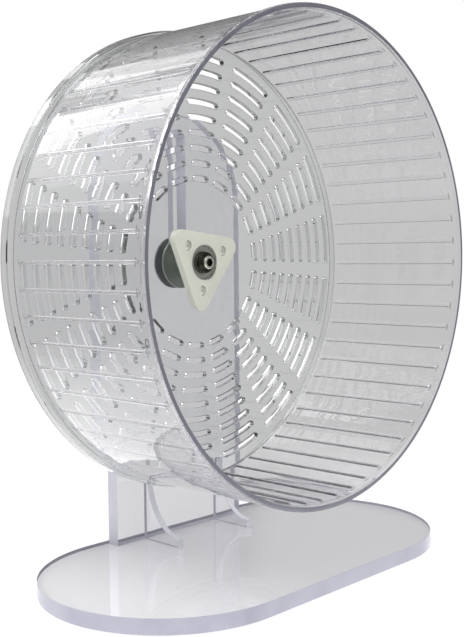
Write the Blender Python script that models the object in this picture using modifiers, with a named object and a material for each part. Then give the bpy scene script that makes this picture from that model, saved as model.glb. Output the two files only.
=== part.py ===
"""Clear hamster wheel: a ribbed drum on a ball bearing, held in the height slot of an acrylic stand."""
import math

import bmesh
import bpy
from mathutils import Matrix, Vector

# Clearances and one overrun that serves every cut
SEAT_GAP = 0.0003
FIT_GAP = 0.0001
CUT_OVERRUN = 0.002
MERGE_DISTANCE = 0.00001
ARC_TOLERANCE = 0.0006

# Base plate
BASE_LENGTH = 0.262
BASE_WIDTH = 0.140
BASE_THICKNESS = 0.008
SHEET_EDGE_BEVEL = 0.0005

# Upright and its height slot
UPRIGHT_WIDTH = 0.102
UPRIGHT_THICKNESS = 0.008
UPRIGHT_REAR_MARGIN = 0.0065
GROUND_CLEARANCE = 0.0308
HEIGHT_TRAVEL = 0.0735
SLOT_TOP_MARGIN = 0.0085

# Gussets between the upright and the base
GUSSET_THICKNESS = 0.004
GUSSET_SPACING = 0.058
GUSSET_DEPTH = 0.029
GUSSET_HEIGHT = 0.040
GUSSET_TIP_HEIGHT = 0.005
GUSSET_TOP_WIDTH = 0.003

# Wheel drum
WHEEL_RADIUS = 0.130
WHEEL_DEPTH = 0.102
WALL_THICKNESS = 0.0025
RIM_BEAD_HEIGHT = 0.0006
RIM_BEAD_WIDTH = 0.0030
RIB_COUNT = 60
RIB_TURN_DEGREES = -0.6
RIB_WIDTH = 0.0023
RIB_HEIGHT = 0.0012
RIB_FRONT_MARGIN = 0.0060
RIB_REAR_MARGIN = 0.0035
RIB_ROOT = 0.0008
RIB_END_STEPS = 2

# Back disc, the lip round it and its vents
LIP_WIDTH = 0.0022
LIP_WALL = 0.0018
LIP_STEP = 0.0004
LIP_STICKOUT = 0.0037
DISC_THICKNESS = 0.0032
VENT_RINGS = 9
VENT_COLUMNS = 18
VENT_FIRST_RADIUS = 0.0491
VENT_EDGE_MARGIN = 0.0077
VENT_WIDTH = 0.0034
VENT_SPOKE_WIDTH = 0.0029
VENT_SPOKE_DEGREES = 3.2
WHEEL_TURN_DEGREES = -3.0

# Hub cap
CAP_CORNER_MARGIN = 0.0111
CAP_CORNER_RADIUS = 0.0034
CAP_THICKNESS = 0.0044
CAP_LIP_THICKNESS = 0.0008
CAP_LIP_WIDTH = 0.0007
CAP_EDGE_BEVEL = 0.0008
CAP_COLLAR_WALL = 0.0018
CAP_COLLAR_STICKOUT = 0.0006
CAP_TURN_DEGREES = -6.5

# Screws and nuts that hold the cap to the disc
SCREW_COUNT = 3
SCREW_RADIUS = 0.0015
SCREW_HEAD_RADIUS = 0.0027
SCREW_HEAD_HEIGHT = 0.0014
SCREW_RECESS_DEPTH = 0.0020
SCREW_STICKOUT = 0.0006
CROSS_REACH = 0.0011
CROSS_WIDTH = 0.0007
CROSS_DEPTH = 0.0007
SMALL_NUT_FLATS = 0.0055
SMALL_NUT_THICKNESS = 0.0024

# Ball bearing
BEARING_BORE_RADIUS = 0.004
BEARING_OUTER_RADIUS = 0.011
BEARING_WIDTH = 0.007
BALL_RADIUS = 0.0019
BALL_COUNT = 7
BALL_PLAY = 0.00015
POCKET_PLAY = 0.0002
SHOULDER_REACH = 0.00145
SHIELD_SEAT_STEP = 0.0006
SHIELD_THICKNESS = 0.0004
SHIELD_RECESS = 0.0003
CAGE_WIDTH = 0.0018
CAGE_START = 0.0003
CAGE_WEB = 0.0003

# Axle, its nuts, the spacer and the clamp disc
RETAINING_NUT_WALL = 0.0022
RETAINING_NUT_THICKNESS = 0.0024
AXLE_FRONT_STICKOUT = 0.0023
AXLE_REAR_STICKOUT = 0.0015
AXLE_CHAMFER = 0.0005
SOCKET_FLATS = 0.0045
SOCKET_DEPTH = 0.003
SPACER_WALL = 0.002
SPACER_LENGTH = 0.0092
CLAMP_DISC_RADIUS = 0.01375
CLAMP_DISC_THICKNESS = 0.0042
CLAMP_DISC_CHAMFER = 0.0006
GUIDE_LENGTH = 0.006
GUIDE_WALL = 0.00095
WASHER_RADIUS = 0.010
WASHER_THICKNESS = 0.0015
CLAMP_NUT_FLATS = 0.013
CLAMP_NUT_THICKNESS = 0.0065
NUT_FACE_SHARE = 0.94
NUT_CHAMFER_DEGREES = 30.0

# Facet counts and the angles that tell an edge from a curve
WALL_STEPS = 60
ROUND_STEPS = 24
SMALL_STEPS = 16
NUT_STEPS = 12
TRACK_STEPS = 4
VENT_END_STEPS = 2
CORNER_STEPS = 5
ARCH_STEPS = 28
BALL_SEGMENTS = 10
BALL_RINGS = 6
HEXAGON_SIDES = 6
SHARP_DEGREES = 35.0
BEVELLED_DEGREES = 60.0

# Places along Y, from the rear edge of the base to the front rim of the wheel
UPRIGHT_BACK_Y = BASE_WIDTH / 2 - UPRIGHT_REAR_MARGIN
UPRIGHT_FRONT_Y = UPRIGHT_BACK_Y - UPRIGHT_THICKNESS
CLAMP_DISC_BACK_Y = UPRIGHT_FRONT_Y - SEAT_GAP
CLAMP_DISC_FRONT_Y = CLAMP_DISC_BACK_Y - CLAMP_DISC_THICKNESS
SPACER_BACK_Y = CLAMP_DISC_FRONT_Y - SEAT_GAP
SPACER_FRONT_Y = SPACER_BACK_Y - SPACER_LENGTH
BEARING_BACK_Y = SPACER_FRONT_Y - SEAT_GAP
BEARING_FRONT_Y = BEARING_BACK_Y - BEARING_WIDTH
BEARING_MIDDLE_Y = (BEARING_FRONT_Y + BEARING_BACK_Y) / 2
CAP_FRONT_Y = BEARING_FRONT_Y - SEAT_GAP - CAP_LIP_THICKNESS
CAP_BACK_Y = CAP_FRONT_Y + CAP_THICKNESS
DISC_FRONT_Y = CAP_BACK_Y + SEAT_GAP
DISC_BACK_Y = DISC_FRONT_Y + DISC_THICKNESS
RIM_FRONT_Y = DISC_BACK_Y - WHEEL_DEPTH
COLLAR_BACK_Y = max(DISC_BACK_Y, BEARING_BACK_Y) + CAP_COLLAR_STICKOUT
RETAINING_NUT_BACK_Y = BEARING_FRONT_Y - SEAT_GAP
RETAINING_NUT_FRONT_Y = RETAINING_NUT_BACK_Y - RETAINING_NUT_THICKNESS
AXLE_FRONT_Y = RETAINING_NUT_FRONT_Y - AXLE_FRONT_STICKOUT
WASHER_FRONT_Y = UPRIGHT_BACK_Y + SEAT_GAP
CLAMP_NUT_FRONT_Y = WASHER_FRONT_Y + WASHER_THICKNESS + SEAT_GAP
CLAMP_NUT_BACK_Y = CLAMP_NUT_FRONT_Y + CLAMP_NUT_THICKNESS
AXLE_BACK_Y = CLAMP_NUT_BACK_Y + AXLE_REAR_STICKOUT

# Turns in radians
FULL_TURN = 2 * math.pi
QUARTER_TURN = math.pi / 2


def hexagon_corner(flats):
    """From the centre of a hexagon to its corners, for the width across its flats."""
    return flats / 2 / math.cos(math.pi / HEXAGON_SIDES)


# Radii that fit one another, from the axle out
AXLE_RADIUS = BEARING_BORE_RADIUS - FIT_GAP
NUT_BORE_RADIUS = AXLE_RADIUS + FIT_GAP
GUIDE_RADIUS = NUT_BORE_RADIUS + GUIDE_WALL
SLOT_RADIUS = GUIDE_RADIUS + SEAT_GAP
PITCH_RADIUS = (BEARING_BORE_RADIUS + BEARING_OUTER_RADIUS) / 2
INNER_SHOULDER_RADIUS = PITCH_RADIUS - SHOULDER_REACH
OUTER_SHOULDER_RADIUS = PITCH_RADIUS + SHOULDER_REACH
SHIELD_SEAT_RADIUS = OUTER_SHOULDER_RADIUS + SHIELD_SEAT_STEP
POCKET_RADIUS = BEARING_OUTER_RADIUS + SEAT_GAP
COLLAR_RADIUS = POCKET_RADIUS + CAP_COLLAR_WALL
DISC_HOLE_RADIUS = COLLAR_RADIUS + SEAT_GAP
SCREW_CIRCLE_RADIUS = COLLAR_RADIUS + hexagon_corner(SMALL_NUT_FLATS) + SEAT_GAP
CAP_CORNER_REACH = SCREW_CIRCLE_RADIUS + CAP_CORNER_MARGIN
WALL_INNER_RADIUS = WHEEL_RADIUS - WALL_THICKNESS
LIP_RADIUS = WHEEL_RADIUS + LIP_WIDTH

# Heights
UPRIGHT_FOOT_Z = BASE_THICKNESS + SEAT_GAP
AXLE_HEIGHT = BASE_THICKNESS + GROUND_CLEARANCE + LIP_RADIUS
SLOT_TOP_Z = AXLE_HEIGHT + HEIGHT_TRAVEL + SLOT_RADIUS


def clear_scene():
    for existing in list(bpy.data.objects):
        bpy.data.objects.remove(existing, do_unlink=True)


def make_collection(name):
    collection = bpy.data.collections.new(name)
    bpy.context.scene.collection.children.link(collection)
    return collection


clear_scene()
PIECES = make_collection("hamster_wheel")
CUTTERS = make_collection("hamster_wheel_cutters")


def make_material(name, colour, roughness, metallic=0.0, alpha=1.0):
    material = bpy.data.materials.new(name)
    material.use_nodes = True
    shader = material.node_tree.nodes["Principled BSDF"]
    shader.inputs["Base Color"].default_value = (*colour, 1.0)
    shader.inputs["Roughness"].default_value = roughness
    shader.inputs["Metallic"].default_value = metallic
    shader.inputs["Alpha"].default_value = alpha
    material.diffuse_color = (*colour, alpha)
    return material


CLEAR_DRUM = make_material("clear_drum", (0.80, 0.82, 0.83), 0.08, alpha=0.35)
CLEAR_DISC = make_material("clear_disc", (0.76, 0.78, 0.79), 0.10, alpha=0.45)
CLEAR_SHEET = make_material("clear_acrylic_sheet", (0.80, 0.81, 0.88), 0.04, alpha=0.40)
MILKY_PLASTIC = make_material("milky_plastic", (0.64, 0.66, 0.57), 0.35)
BEARING_STEEL = make_material("bearing_steel", (0.36, 0.36, 0.32), 0.30, metallic=1.0)
SHIELD_STEEL = make_material("shield_steel", (0.30, 0.30, 0.26), 0.38, metallic=1.0)
DARK_STEEL = make_material("dark_steel", (0.10, 0.10, 0.09), 0.28, metallic=1.0)
POLISHED_STEEL = make_material("polished_steel", (0.42, 0.45, 0.43), 0.16, metallic=1.0)
ZINC_STEEL = make_material("zinc_steel", (0.55, 0.55, 0.54), 0.32, metallic=1.0)


def make_empty(name, location, parent=None):
    frame = bpy.data.objects.new(name, None)
    frame.location = location
    frame.parent = parent
    PIECES.objects.link(frame)
    return frame


def add_object(name, mesh, material=None, parent=None, location=(0, 0, 0), rotation=(0, 0, 0)):
    piece = bpy.data.objects.new(name, mesh)
    piece.location = location
    piece.rotation_euler = rotation
    piece.parent = parent
    if material is None:
        CUTTERS.objects.link(piece)
        piece.hide_render = True
        piece.display_type = "WIRE"
    else:
        PIECES.objects.link(piece)
        mesh.materials.append(material)
    return piece


def shade_round(piece):
    piece.data.shade_smooth()
    piece.data.set_sharp_from_angle(angle=math.radians(SHARP_DEGREES))


def add_boolean(piece, tool, operation):
    modifier = piece.modifiers.new(f"{operation.lower()}_{tool.name}", "BOOLEAN")
    modifier.operation = operation
    modifier.solver = "EXACT"
    modifier.object = tool


def add_bevel(piece, width, segments=1):
    modifier = piece.modifiers.new("edge_bevel", "BEVEL")
    modifier.width = width
    modifier.segments = segments
    modifier.limit_method = "ANGLE"
    modifier.angle_limit = math.radians(BEVELLED_DEGREES)
    modifier.use_clamp_overlap = True


# Turned shapes stand on a frame at the axle, with their own +Z along the world's +Y
ALONG_Y = (-QUARTER_TURN, 0, 0)


def turned(name, profile, material=None, parent=None, steps=ROUND_STEPS, closed=True):
    """Revolve (radius, y) points that run front to back along the bore and back to front outside."""
    mesh = bpy.data.meshes.new(name)
    points = [(radius, 0, along) for radius, along in profile]
    count = len(points)
    edges = [(index, index + 1) for index in range(count - 1)]
    if closed:
        edges.append((count - 1, 0))
    mesh.from_pydata(points, edges, [])
    piece = add_object(name, mesh, material, parent, rotation=ALONG_Y)
    screw = piece.modifiers.new("turn", "SCREW")
    screw.axis = "Z"
    screw.angle = FULL_TURN
    screw.steps = steps
    screw.render_steps = steps
    screw.use_merge_vertices = True
    screw.merge_threshold = MERGE_DISTANCE
    screw.use_smooth_shade = True
    return piece


def ring_profile(inner, outer, front, back):
    """A plain ring: along the bore from front to back, then forward along the outside."""
    return [(inner, front), (inner, back), (outer, back), (outer, front)]


def rod_profile(radius, front, back, chamfer):
    """A rod with chamfered ends, from the centre of its back end to the centre of its front end."""
    return [
        (0, back),
        (radius - chamfer, back),
        (radius, back - chamfer),
        (radius, front + chamfer),
        (radius - chamfer, front),
        (0, front),
    ]


def arc_points(centre, radius, start, end, steps):
    return [
        (
            centre[0] + radius * math.cos(start + (end - start) * step / steps),
            centre[1] + radius * math.sin(start + (end - start) * step / steps),
        )
        for step in range(steps + 1)
    ]


def circle_outline(radius, steps, centre=(0, 0)):
    return arc_points(centre, radius, 0, FULL_TURN, steps)[:-1]


def flat_mesh(name, outlines, thickness):
    """Fill the first outline, leave the others as holes, and give the sheet its thickness."""
    curve = bpy.data.curves.new(name, "CURVE")
    curve.dimensions = "2D"
    curve.fill_mode = "BOTH"
    curve.extrude = thickness / 2
    for outline in outlines:
        spline = curve.splines.new("POLY")
        spline.points.add(len(outline) - 1)
        for point, (across, up) in zip(spline.points, outline):
            point.co = (across, up, 0, 1)
        spline.use_cyclic_u = True
    holder = bpy.data.objects.new(f"{name}_outline", curve)
    CUTTERS.objects.link(holder)
    bpy.context.view_layer.update()
    evaluated = holder.evaluated_get(bpy.context.evaluated_depsgraph_get())
    mesh = bpy.data.meshes.new_from_object(evaluated)
    mesh.name = name
    bpy.data.objects.remove(holder, do_unlink=True)
    bpy.data.curves.remove(curve)
    shape = bmesh.new()
    shape.from_mesh(mesh)
    bmesh.ops.remove_doubles(shape, verts=shape.verts, dist=MERGE_DISTANCE)
    bmesh.ops.recalc_face_normals(shape, faces=shape.faces)
    shape.to_mesh(mesh)
    shape.free()
    return mesh


# A sheet that stands in the XZ plane, its outline read as (x, z)
UPRIGHT_PLANE = (QUARTER_TURN, 0, 0)


def prism_mesh(name, radius, front, back, sides):
    """A capped prism or cylinder along Y, for nuts, cuts and sockets."""
    shape = bmesh.new()
    bmesh.ops.create_cone(
        shape,
        cap_ends=True,
        segments=sides,
        radius1=radius,
        radius2=radius,
        depth=back - front,
        matrix=Matrix.Translation((0, (front + back) / 2, 0)) @ Matrix.Rotation(-QUARTER_TURN, 4, "X"),
    )
    mesh = bpy.data.meshes.new(name)
    shape.to_mesh(mesh)
    shape.free()
    return mesh


def cut_cylinder(name, radius, front, back, parent, place=(0, 0), sides=ROUND_STEPS):
    mesh = prism_mesh(name, radius, front, back, sides)
    return add_object(name, mesh, None, parent, (place[0], 0, place[1]))


# Stand: base plate, upright and gussets
def stadium_outline(length, width, steps):
    radius = width / 2
    reach = length / 2 - radius
    right = arc_points((reach, 0), radius, -QUARTER_TURN, QUARTER_TURN, steps)
    left = arc_points((-reach, 0), radius, QUARTER_TURN, 3 * QUARTER_TURN, steps)
    return right + left


def build_base():
    mesh = flat_mesh("base_plate", [stadium_outline(BASE_LENGTH, BASE_WIDTH, ARCH_STEPS)], BASE_THICKNESS)
    base = add_object("base_plate", mesh, CLEAR_SHEET, None, (0, 0, BASE_THICKNESS / 2))
    add_bevel(base, SHEET_EDGE_BEVEL)
    shade_round(base)


def slot_outline():
    """The height slot, from under the axle at rest to its top end."""
    upper = arc_points((0, SLOT_TOP_Z - SLOT_RADIUS), SLOT_RADIUS, 0, math.pi, SMALL_STEPS // 2)
    lower = arc_points((0, AXLE_HEIGHT), SLOT_RADIUS, math.pi, FULL_TURN, SMALL_STEPS // 2)
    return upper + lower


def upright_outline():
    radius = UPRIGHT_WIDTH / 2
    crown = SLOT_TOP_Z + SLOT_TOP_MARGIN
    arch = arc_points((0, crown - radius), radius, 0, math.pi, ARCH_STEPS)
    return [(-radius, UPRIGHT_FOOT_Z), (radius, UPRIGHT_FOOT_Z)] + arch


def build_upright():
    mesh = flat_mesh("upright", [upright_outline(), slot_outline()], UPRIGHT_THICKNESS)
    middle = (UPRIGHT_FRONT_Y + UPRIGHT_BACK_Y) / 2
    upright = add_object("upright", mesh, CLEAR_SHEET, None, (0, middle, 0), UPRIGHT_PLANE)
    add_bevel(upright, SHEET_EDGE_BEVEL)
    shade_round(upright)


def gusset_outline():
    """Right-angled corner piece whose long edge is a quarter of an ellipse, hollow side out."""
    across = GUSSET_DEPTH - GUSSET_TOP_WIDTH
    rise = GUSSET_HEIGHT - GUSSET_TIP_HEIGHT
    hollow = [
        (GUSSET_DEPTH - across * math.sin(angle), GUSSET_HEIGHT - rise * math.cos(angle))
        for angle in (QUARTER_TURN * step / SMALL_STEPS for step in range(SMALL_STEPS + 1))
    ]
    return [(0, 0), (GUSSET_DEPTH, 0)] + hollow + [(0, GUSSET_HEIGHT)]


def build_gusset(name, side):
    mesh = flat_mesh(name, [gusset_outline()], GUSSET_THICKNESS)
    place = (side * GUSSET_SPACING / 2, UPRIGHT_FRONT_Y - SEAT_GAP, UPRIGHT_FOOT_Z)
    gusset = add_object(name, mesh, CLEAR_SHEET, None, place, (QUARTER_TURN, 0, -QUARTER_TURN))
    shade_round(gusset)


# Wheel: drum with its running ribs, back disc and hub cap
def rib_mesh():
    """All the running ribs as one tool: bars with rounded ends, rooted in the drum's wall."""
    start = RIM_FRONT_Y + RIB_FRONT_MARGIN
    end = DISC_FRONT_Y - SEAT_GAP - RIB_REAR_MARGIN
    top = WALL_INNER_RADIUS - RIB_HEIGHT
    root = WALL_INNER_RADIUS + RIB_ROOT
    outline = stadium_outline(end - start, RIB_WIDTH, RIB_END_STEPS)
    bar = flat_mesh("running_rib", [outline], root - top)
    middle = Matrix.Translation((0, (start + end) / 2, -(top + root) / 2))
    lay = middle @ Matrix.Rotation(QUARTER_TURN, 4, "Z")
    ribs = bmesh.new()
    for index in range(RIB_COUNT):
        before = len(ribs.verts)
        ribs.from_mesh(bar)
        ribs.verts.ensure_lookup_table()
        added = ribs.verts[before:]
        turn = math.radians(RIB_TURN_DEGREES) + FULL_TURN * index / RIB_COUNT
        bmesh.ops.transform(ribs, matrix=Matrix.Rotation(-turn, 4, "Y") @ lay, verts=added)
    mesh = bpy.data.meshes.new("running_ribs")
    ribs.to_mesh(mesh)
    ribs.free()
    bpy.data.meshes.remove(bar)
    return mesh


def build_running_wall(frame):
    """The drum's wall with a bead round its front rim, its facets centred on the ribs."""
    back = DISC_FRONT_Y - SEAT_GAP
    bead_radius = WHEEL_RADIUS + RIM_BEAD_HEIGHT
    profile = [
        (WALL_INNER_RADIUS, RIM_FRONT_Y),
        (WALL_INNER_RADIUS, back),
        (WHEEL_RADIUS, back),
        (WHEEL_RADIUS, RIM_FRONT_Y + RIM_BEAD_WIDTH),
        (bead_radius, RIM_FRONT_Y + RIM_BEAD_WIDTH - RIM_BEAD_HEIGHT),
        (bead_radius, RIM_FRONT_Y),
    ]
    wall = turned("running_wall", profile, CLEAR_DRUM, frame, WALL_STEPS)
    wall.rotation_euler = (-QUARTER_TURN, math.pi / WALL_STEPS - math.radians(RIB_TURN_DEGREES), 0)
    ribs = add_object("running_ribs", rib_mesh(), None, frame)
    add_boolean(wall, ribs, "UNION")


def vent_outline(radius, middle):
    """One arc slot with round ends, centred on the ray at the angle middle."""
    spoke = VENT_SPOKE_WIDTH + math.radians(VENT_SPOKE_DEGREES) * radius
    half = VENT_WIDTH / 2
    reach = math.pi / VENT_COLUMNS - (spoke / 2 + half) / radius
    outline = []
    for side in (1, -1):
        turn = middle + side * reach
        centre = (radius * math.cos(turn), radius * math.sin(turn))
        start = turn if side > 0 else turn + math.pi
        outline += arc_points(centre, half, start, start + math.pi, VENT_END_STEPS)
        if radius * (1 - math.cos(reach)) > ARC_TOLERANCE:
            crest = radius - side * half
            outline.append((crest * math.cos(middle), crest * math.sin(middle)))
    return outline


def cap_corner_angles():
    """Angles of the cap's corners, evenly round from the corner nearest to straight down."""
    for index in range(SCREW_COUNT):
        yield math.radians(CAP_TURN_DEGREES) - QUARTER_TURN + FULL_TURN * index / SCREW_COUNT


def screw_places():
    for angle in cap_corner_angles():
        yield SCREW_CIRCLE_RADIUS * math.cos(angle), SCREW_CIRCLE_RADIUS * math.sin(angle)


def build_back_disc(frame):
    """The vented disc, with a lip round it that stands out past the drum and turns back."""
    edge_radius = LIP_RADIUS - LIP_WALL / 2
    outlines = [circle_outline(edge_radius, WALL_STEPS), circle_outline(DISC_HOLE_RADIUS, ROUND_STEPS)]
    for place in screw_places():
        outlines.append(circle_outline(SCREW_RADIUS + SEAT_GAP, SMALL_STEPS, place))
    vent_pitch = (WALL_INNER_RADIUS - VENT_EDGE_MARGIN - VENT_FIRST_RADIUS) / (VENT_RINGS - 1)
    for ring in range(VENT_RINGS):
        radius = VENT_FIRST_RADIUS + ring * vent_pitch
        for column in range(VENT_COLUMNS):
            middle = math.radians(WHEEL_TURN_DEGREES) + FULL_TURN * (column + 0.5) / VENT_COLUMNS
            outlines.append(vent_outline(radius, middle))
    mesh = flat_mesh("back_disc", outlines, DISC_THICKNESS)
    middle_y = (DISC_FRONT_Y + DISC_BACK_Y) / 2
    disc = add_object("back_disc", mesh, CLEAR_DISC, frame, (0, middle_y, 0), UPRIGHT_PLANE)
    shade_round(disc)
    lip_profile = ring_profile(
        LIP_RADIUS - LIP_WALL, LIP_RADIUS, DISC_FRONT_Y + LIP_STEP, DISC_BACK_Y + LIP_STICKOUT
    )
    lip = turned("disc_lip", lip_profile, None, frame, WALL_STEPS)
    add_boolean(disc, lip, "UNION")


def cap_outline():
    """Triangle with rounded corners."""
    reach = CAP_CORNER_REACH - CAP_CORNER_RADIUS
    spread = math.pi / SCREW_COUNT
    outline = []
    for angle in cap_corner_angles():
        centre = (reach * math.cos(angle), reach * math.sin(angle))
        outline += arc_points(centre, CAP_CORNER_RADIUS, angle - spread, angle + spread, CORNER_STEPS)
    return outline


def build_hub_cap(frame):
    mesh = flat_mesh("hub_cap", [cap_outline()], CAP_THICKNESS)
    middle_y = (CAP_FRONT_Y + CAP_BACK_Y) / 2
    cap = add_object("hub_cap", mesh, MILKY_PLASTIC, frame, (0, middle_y, 0), UPRIGHT_PLANE)
    add_bevel(cap, CAP_EDGE_BEVEL, segments=2)
    collar = cut_cylinder("cap_collar", COLLAR_RADIUS, CAP_BACK_Y - CUT_OVERRUN, COLLAR_BACK_Y, frame)
    add_boolean(cap, collar, "UNION")
    lip_back = CAP_FRONT_Y + CAP_LIP_THICKNESS
    pocket = cut_cylinder("cap_pocket", POCKET_RADIUS, lip_back, COLLAR_BACK_Y + CUT_OVERRUN, frame)
    add_boolean(cap, pocket, "DIFFERENCE")
    opening_radius = BEARING_OUTER_RADIUS - CAP_LIP_WIDTH
    cut_front = CAP_FRONT_Y - CUT_OVERRUN
    opening = cut_cylinder("cap_opening", opening_radius, cut_front, lip_back + CUT_OVERRUN, frame)
    add_boolean(cap, opening, "DIFFERENCE")
    for index, place in enumerate(screw_places(), start=1):
        recess_radius = SCREW_HEAD_RADIUS + SEAT_GAP
        recess_back = CAP_FRONT_Y + SCREW_RECESS_DEPTH
        recess = cut_cylinder(
            f"screw_recess_{index}", recess_radius, cut_front, recess_back, frame, place, SMALL_STEPS
        )
        hole = cut_cylinder(
            f"screw_hole_{index}",
            SCREW_RADIUS + SEAT_GAP,
            cut_front,
            CAP_BACK_Y + CUT_OVERRUN,
            frame,
            place,
            SMALL_STEPS,
        )
        add_boolean(cap, recess, "DIFFERENCE")
        add_boolean(cap, hole, "DIFFERENCE")
    shade_round(cap)


# Screws and nuts that hold the cap to the disc
def cross_outline():
    """A plus sign: the same three corners four times, a quarter of a turn on each time."""
    half = CROSS_WIDTH / 2
    corners = [Vector((CROSS_REACH, -half, 0)), Vector((CROSS_REACH, half, 0)), Vector((half, half, 0))]
    outline = []
    for quarter in range(4):
        turn = Matrix.Rotation(quarter * QUARTER_TURN, 3, "Z")
        outline += [(turn @ corner)[:2] for corner in corners]
    return outline


def build_cap_fasteners(frame):
    head_back = CAP_FRONT_Y + SCREW_RECESS_DEPTH - SEAT_GAP
    head_front = head_back - SCREW_HEAD_HEIGHT
    nut_front = DISC_BACK_Y + SEAT_GAP
    nut_back = nut_front + SMALL_NUT_THICKNESS
    tip = nut_back + SCREW_STICKOUT
    profile = [
        (0, tip),
        (SCREW_RADIUS, tip),
        (SCREW_RADIUS, head_back),
        (SCREW_HEAD_RADIUS, head_back),
        (SCREW_HEAD_RADIUS, (head_front + head_back) / 2),
        (SCREW_HEAD_RADIUS / 2, head_front),
        (0, head_front),
    ]
    for index, place in enumerate(screw_places(), start=1):
        station = make_empty(f"cap_screw_place_{index}", (place[0], 0, place[1]), frame)
        screw = turned(f"cap_screw_{index}", profile, ZINC_STEEL, station, SMALL_STEPS, closed=False)
        cross = flat_mesh(f"cross_recess_{index}", [cross_outline()], 2 * CROSS_DEPTH)
        turn = (QUARTER_TURN, math.pi / SMALL_STEPS, 0)
        tool = add_object(cross.name, cross, None, station, (0, head_front, 0), turn)
        add_boolean(screw, tool, "DIFFERENCE")
        build_nut(f"cap_nut_{index}", SMALL_NUT_FLATS, nut_front, nut_back, SCREW_RADIUS, ZINC_STEEL, station)


def build_nut(name, flats, front, back, bolt_radius, material, frame):
    """A hexagon nut: a six-sided prism, its corners turned off at both faces, and bored through."""
    corner_radius = hexagon_corner(flats)
    nut = add_object(name, prism_mesh(name, corner_radius, front, back, HEXAGON_SIDES), material, frame)
    face_radius = NUT_FACE_SHARE * flats / 2
    outside = 2 * corner_radius - face_radius
    drop = (outside - face_radius) * math.tan(math.radians(NUT_CHAMFER_DEGREES))
    profile = [
        (0, back),
        (face_radius, back),
        (outside, back - drop),
        (outside, front + drop),
        (face_radius, front),
        (0, front),
    ]
    turning = turned(f"{name}_turning", profile, None, frame, NUT_STEPS, closed=False)
    add_boolean(nut, turning, "INTERSECT")
    bore = cut_cylinder(f"{name}_bore", bolt_radius + FIT_GAP, front - CUT_OVERRUN, back + CUT_OVERRUN, frame)
    add_boolean(nut, bore, "DIFFERENCE")
    return nut


# Ball bearing
def ball_track(side):
    """The groove across a ring, outside (1) or inside (-1) the row of balls, from front to back."""
    radius = BALL_RADIUS + BALL_PLAY
    limit = math.acos(SHOULDER_REACH / radius)
    angles = [limit * (2 * step / TRACK_STEPS - 1) for step in range(TRACK_STEPS + 1)]
    return [
        (PITCH_RADIUS + side * radius * math.cos(angle), BEARING_MIDDLE_Y + radius * math.sin(angle))
        for angle in angles
    ]


def build_bearing_rings(wheel_frame, carriage_frame):
    inner = [(BEARING_BORE_RADIUS, BEARING_FRONT_Y), (BEARING_BORE_RADIUS, BEARING_BACK_Y)]
    inner += [(INNER_SHOULDER_RADIUS, BEARING_BACK_Y)] + ball_track(-1)[::-1]
    inner += [(INNER_SHOULDER_RADIUS, BEARING_FRONT_Y)]
    turned("bearing_inner_ring", inner, BEARING_STEEL, carriage_frame)
    seat = SHIELD_RECESS + SHIELD_THICKNESS + SEAT_GAP
    outer = [
        (SHIELD_SEAT_RADIUS, BEARING_FRONT_Y),
        (SHIELD_SEAT_RADIUS, BEARING_FRONT_Y + seat),
        (OUTER_SHOULDER_RADIUS, BEARING_FRONT_Y + seat),
    ]
    outer += ball_track(1)
    outer += [
        (OUTER_SHOULDER_RADIUS, BEARING_BACK_Y - seat),
        (SHIELD_SEAT_RADIUS, BEARING_BACK_Y - seat),
        (SHIELD_SEAT_RADIUS, BEARING_BACK_Y),
        (BEARING_OUTER_RADIUS, BEARING_BACK_Y),
        (BEARING_OUTER_RADIUS, BEARING_FRONT_Y),
    ]
    turned("bearing_outer_ring", outer, BEARING_STEEL, wheel_frame)


def build_shields(frame):
    shield_inner = INNER_SHOULDER_RADIUS + SEAT_GAP
    shield_outer = SHIELD_SEAT_RADIUS - FIT_GAP
    for name, front in (
        ("front_shield", BEARING_FRONT_Y + SHIELD_RECESS),
        ("rear_shield", BEARING_BACK_Y - SHIELD_RECESS - SHIELD_THICKNESS),
    ):
        profile = ring_profile(shield_inner, shield_outer, front, front + SHIELD_THICKNESS)
        turned(name, profile, SHIELD_STEEL, frame)


def spheres_mesh(name, radius, centres):
    shape = bmesh.new()
    for centre in centres:
        bmesh.ops.create_uvsphere(
            shape,
            u_segments=BALL_SEGMENTS,
            v_segments=BALL_RINGS,
            radius=radius,
            matrix=Matrix.Translation(centre),
        )
    mesh = bpy.data.meshes.new(name)
    shape.to_mesh(mesh)
    shape.free()
    return mesh


def build_balls_and_cage(frame):
    """Seven balls, and the crown cage whose pockets carry them round."""
    centres = []
    for index in range(BALL_COUNT):
        angle = FULL_TURN * index / BALL_COUNT
        centres.append((PITCH_RADIUS * math.cos(angle), BEARING_MIDDLE_Y, PITCH_RADIUS * math.sin(angle)))
    for index, centre in enumerate(centres, start=1):
        name = f"bearing_ball_{index}"
        ball = add_object(name, spheres_mesh(name, BALL_RADIUS, [(0, 0, 0)]), POLISHED_STEEL, frame, centre)
        shade_round(ball)
    pocket_radius = BALL_RADIUS + POCKET_PLAY
    start = BEARING_MIDDLE_Y + CAGE_START
    end = BEARING_MIDDLE_Y + pocket_radius + CAGE_WEB
    profile = ring_profile(PITCH_RADIUS - CAGE_WIDTH / 2, PITCH_RADIUS + CAGE_WIDTH / 2, start, end)
    cage = turned("bearing_cage", profile, SHIELD_STEEL, frame)
    pockets = add_object("ball_pockets", spheres_mesh("ball_pockets", pocket_radius, centres), None, frame)
    add_boolean(cage, pockets, "DIFFERENCE")


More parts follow.
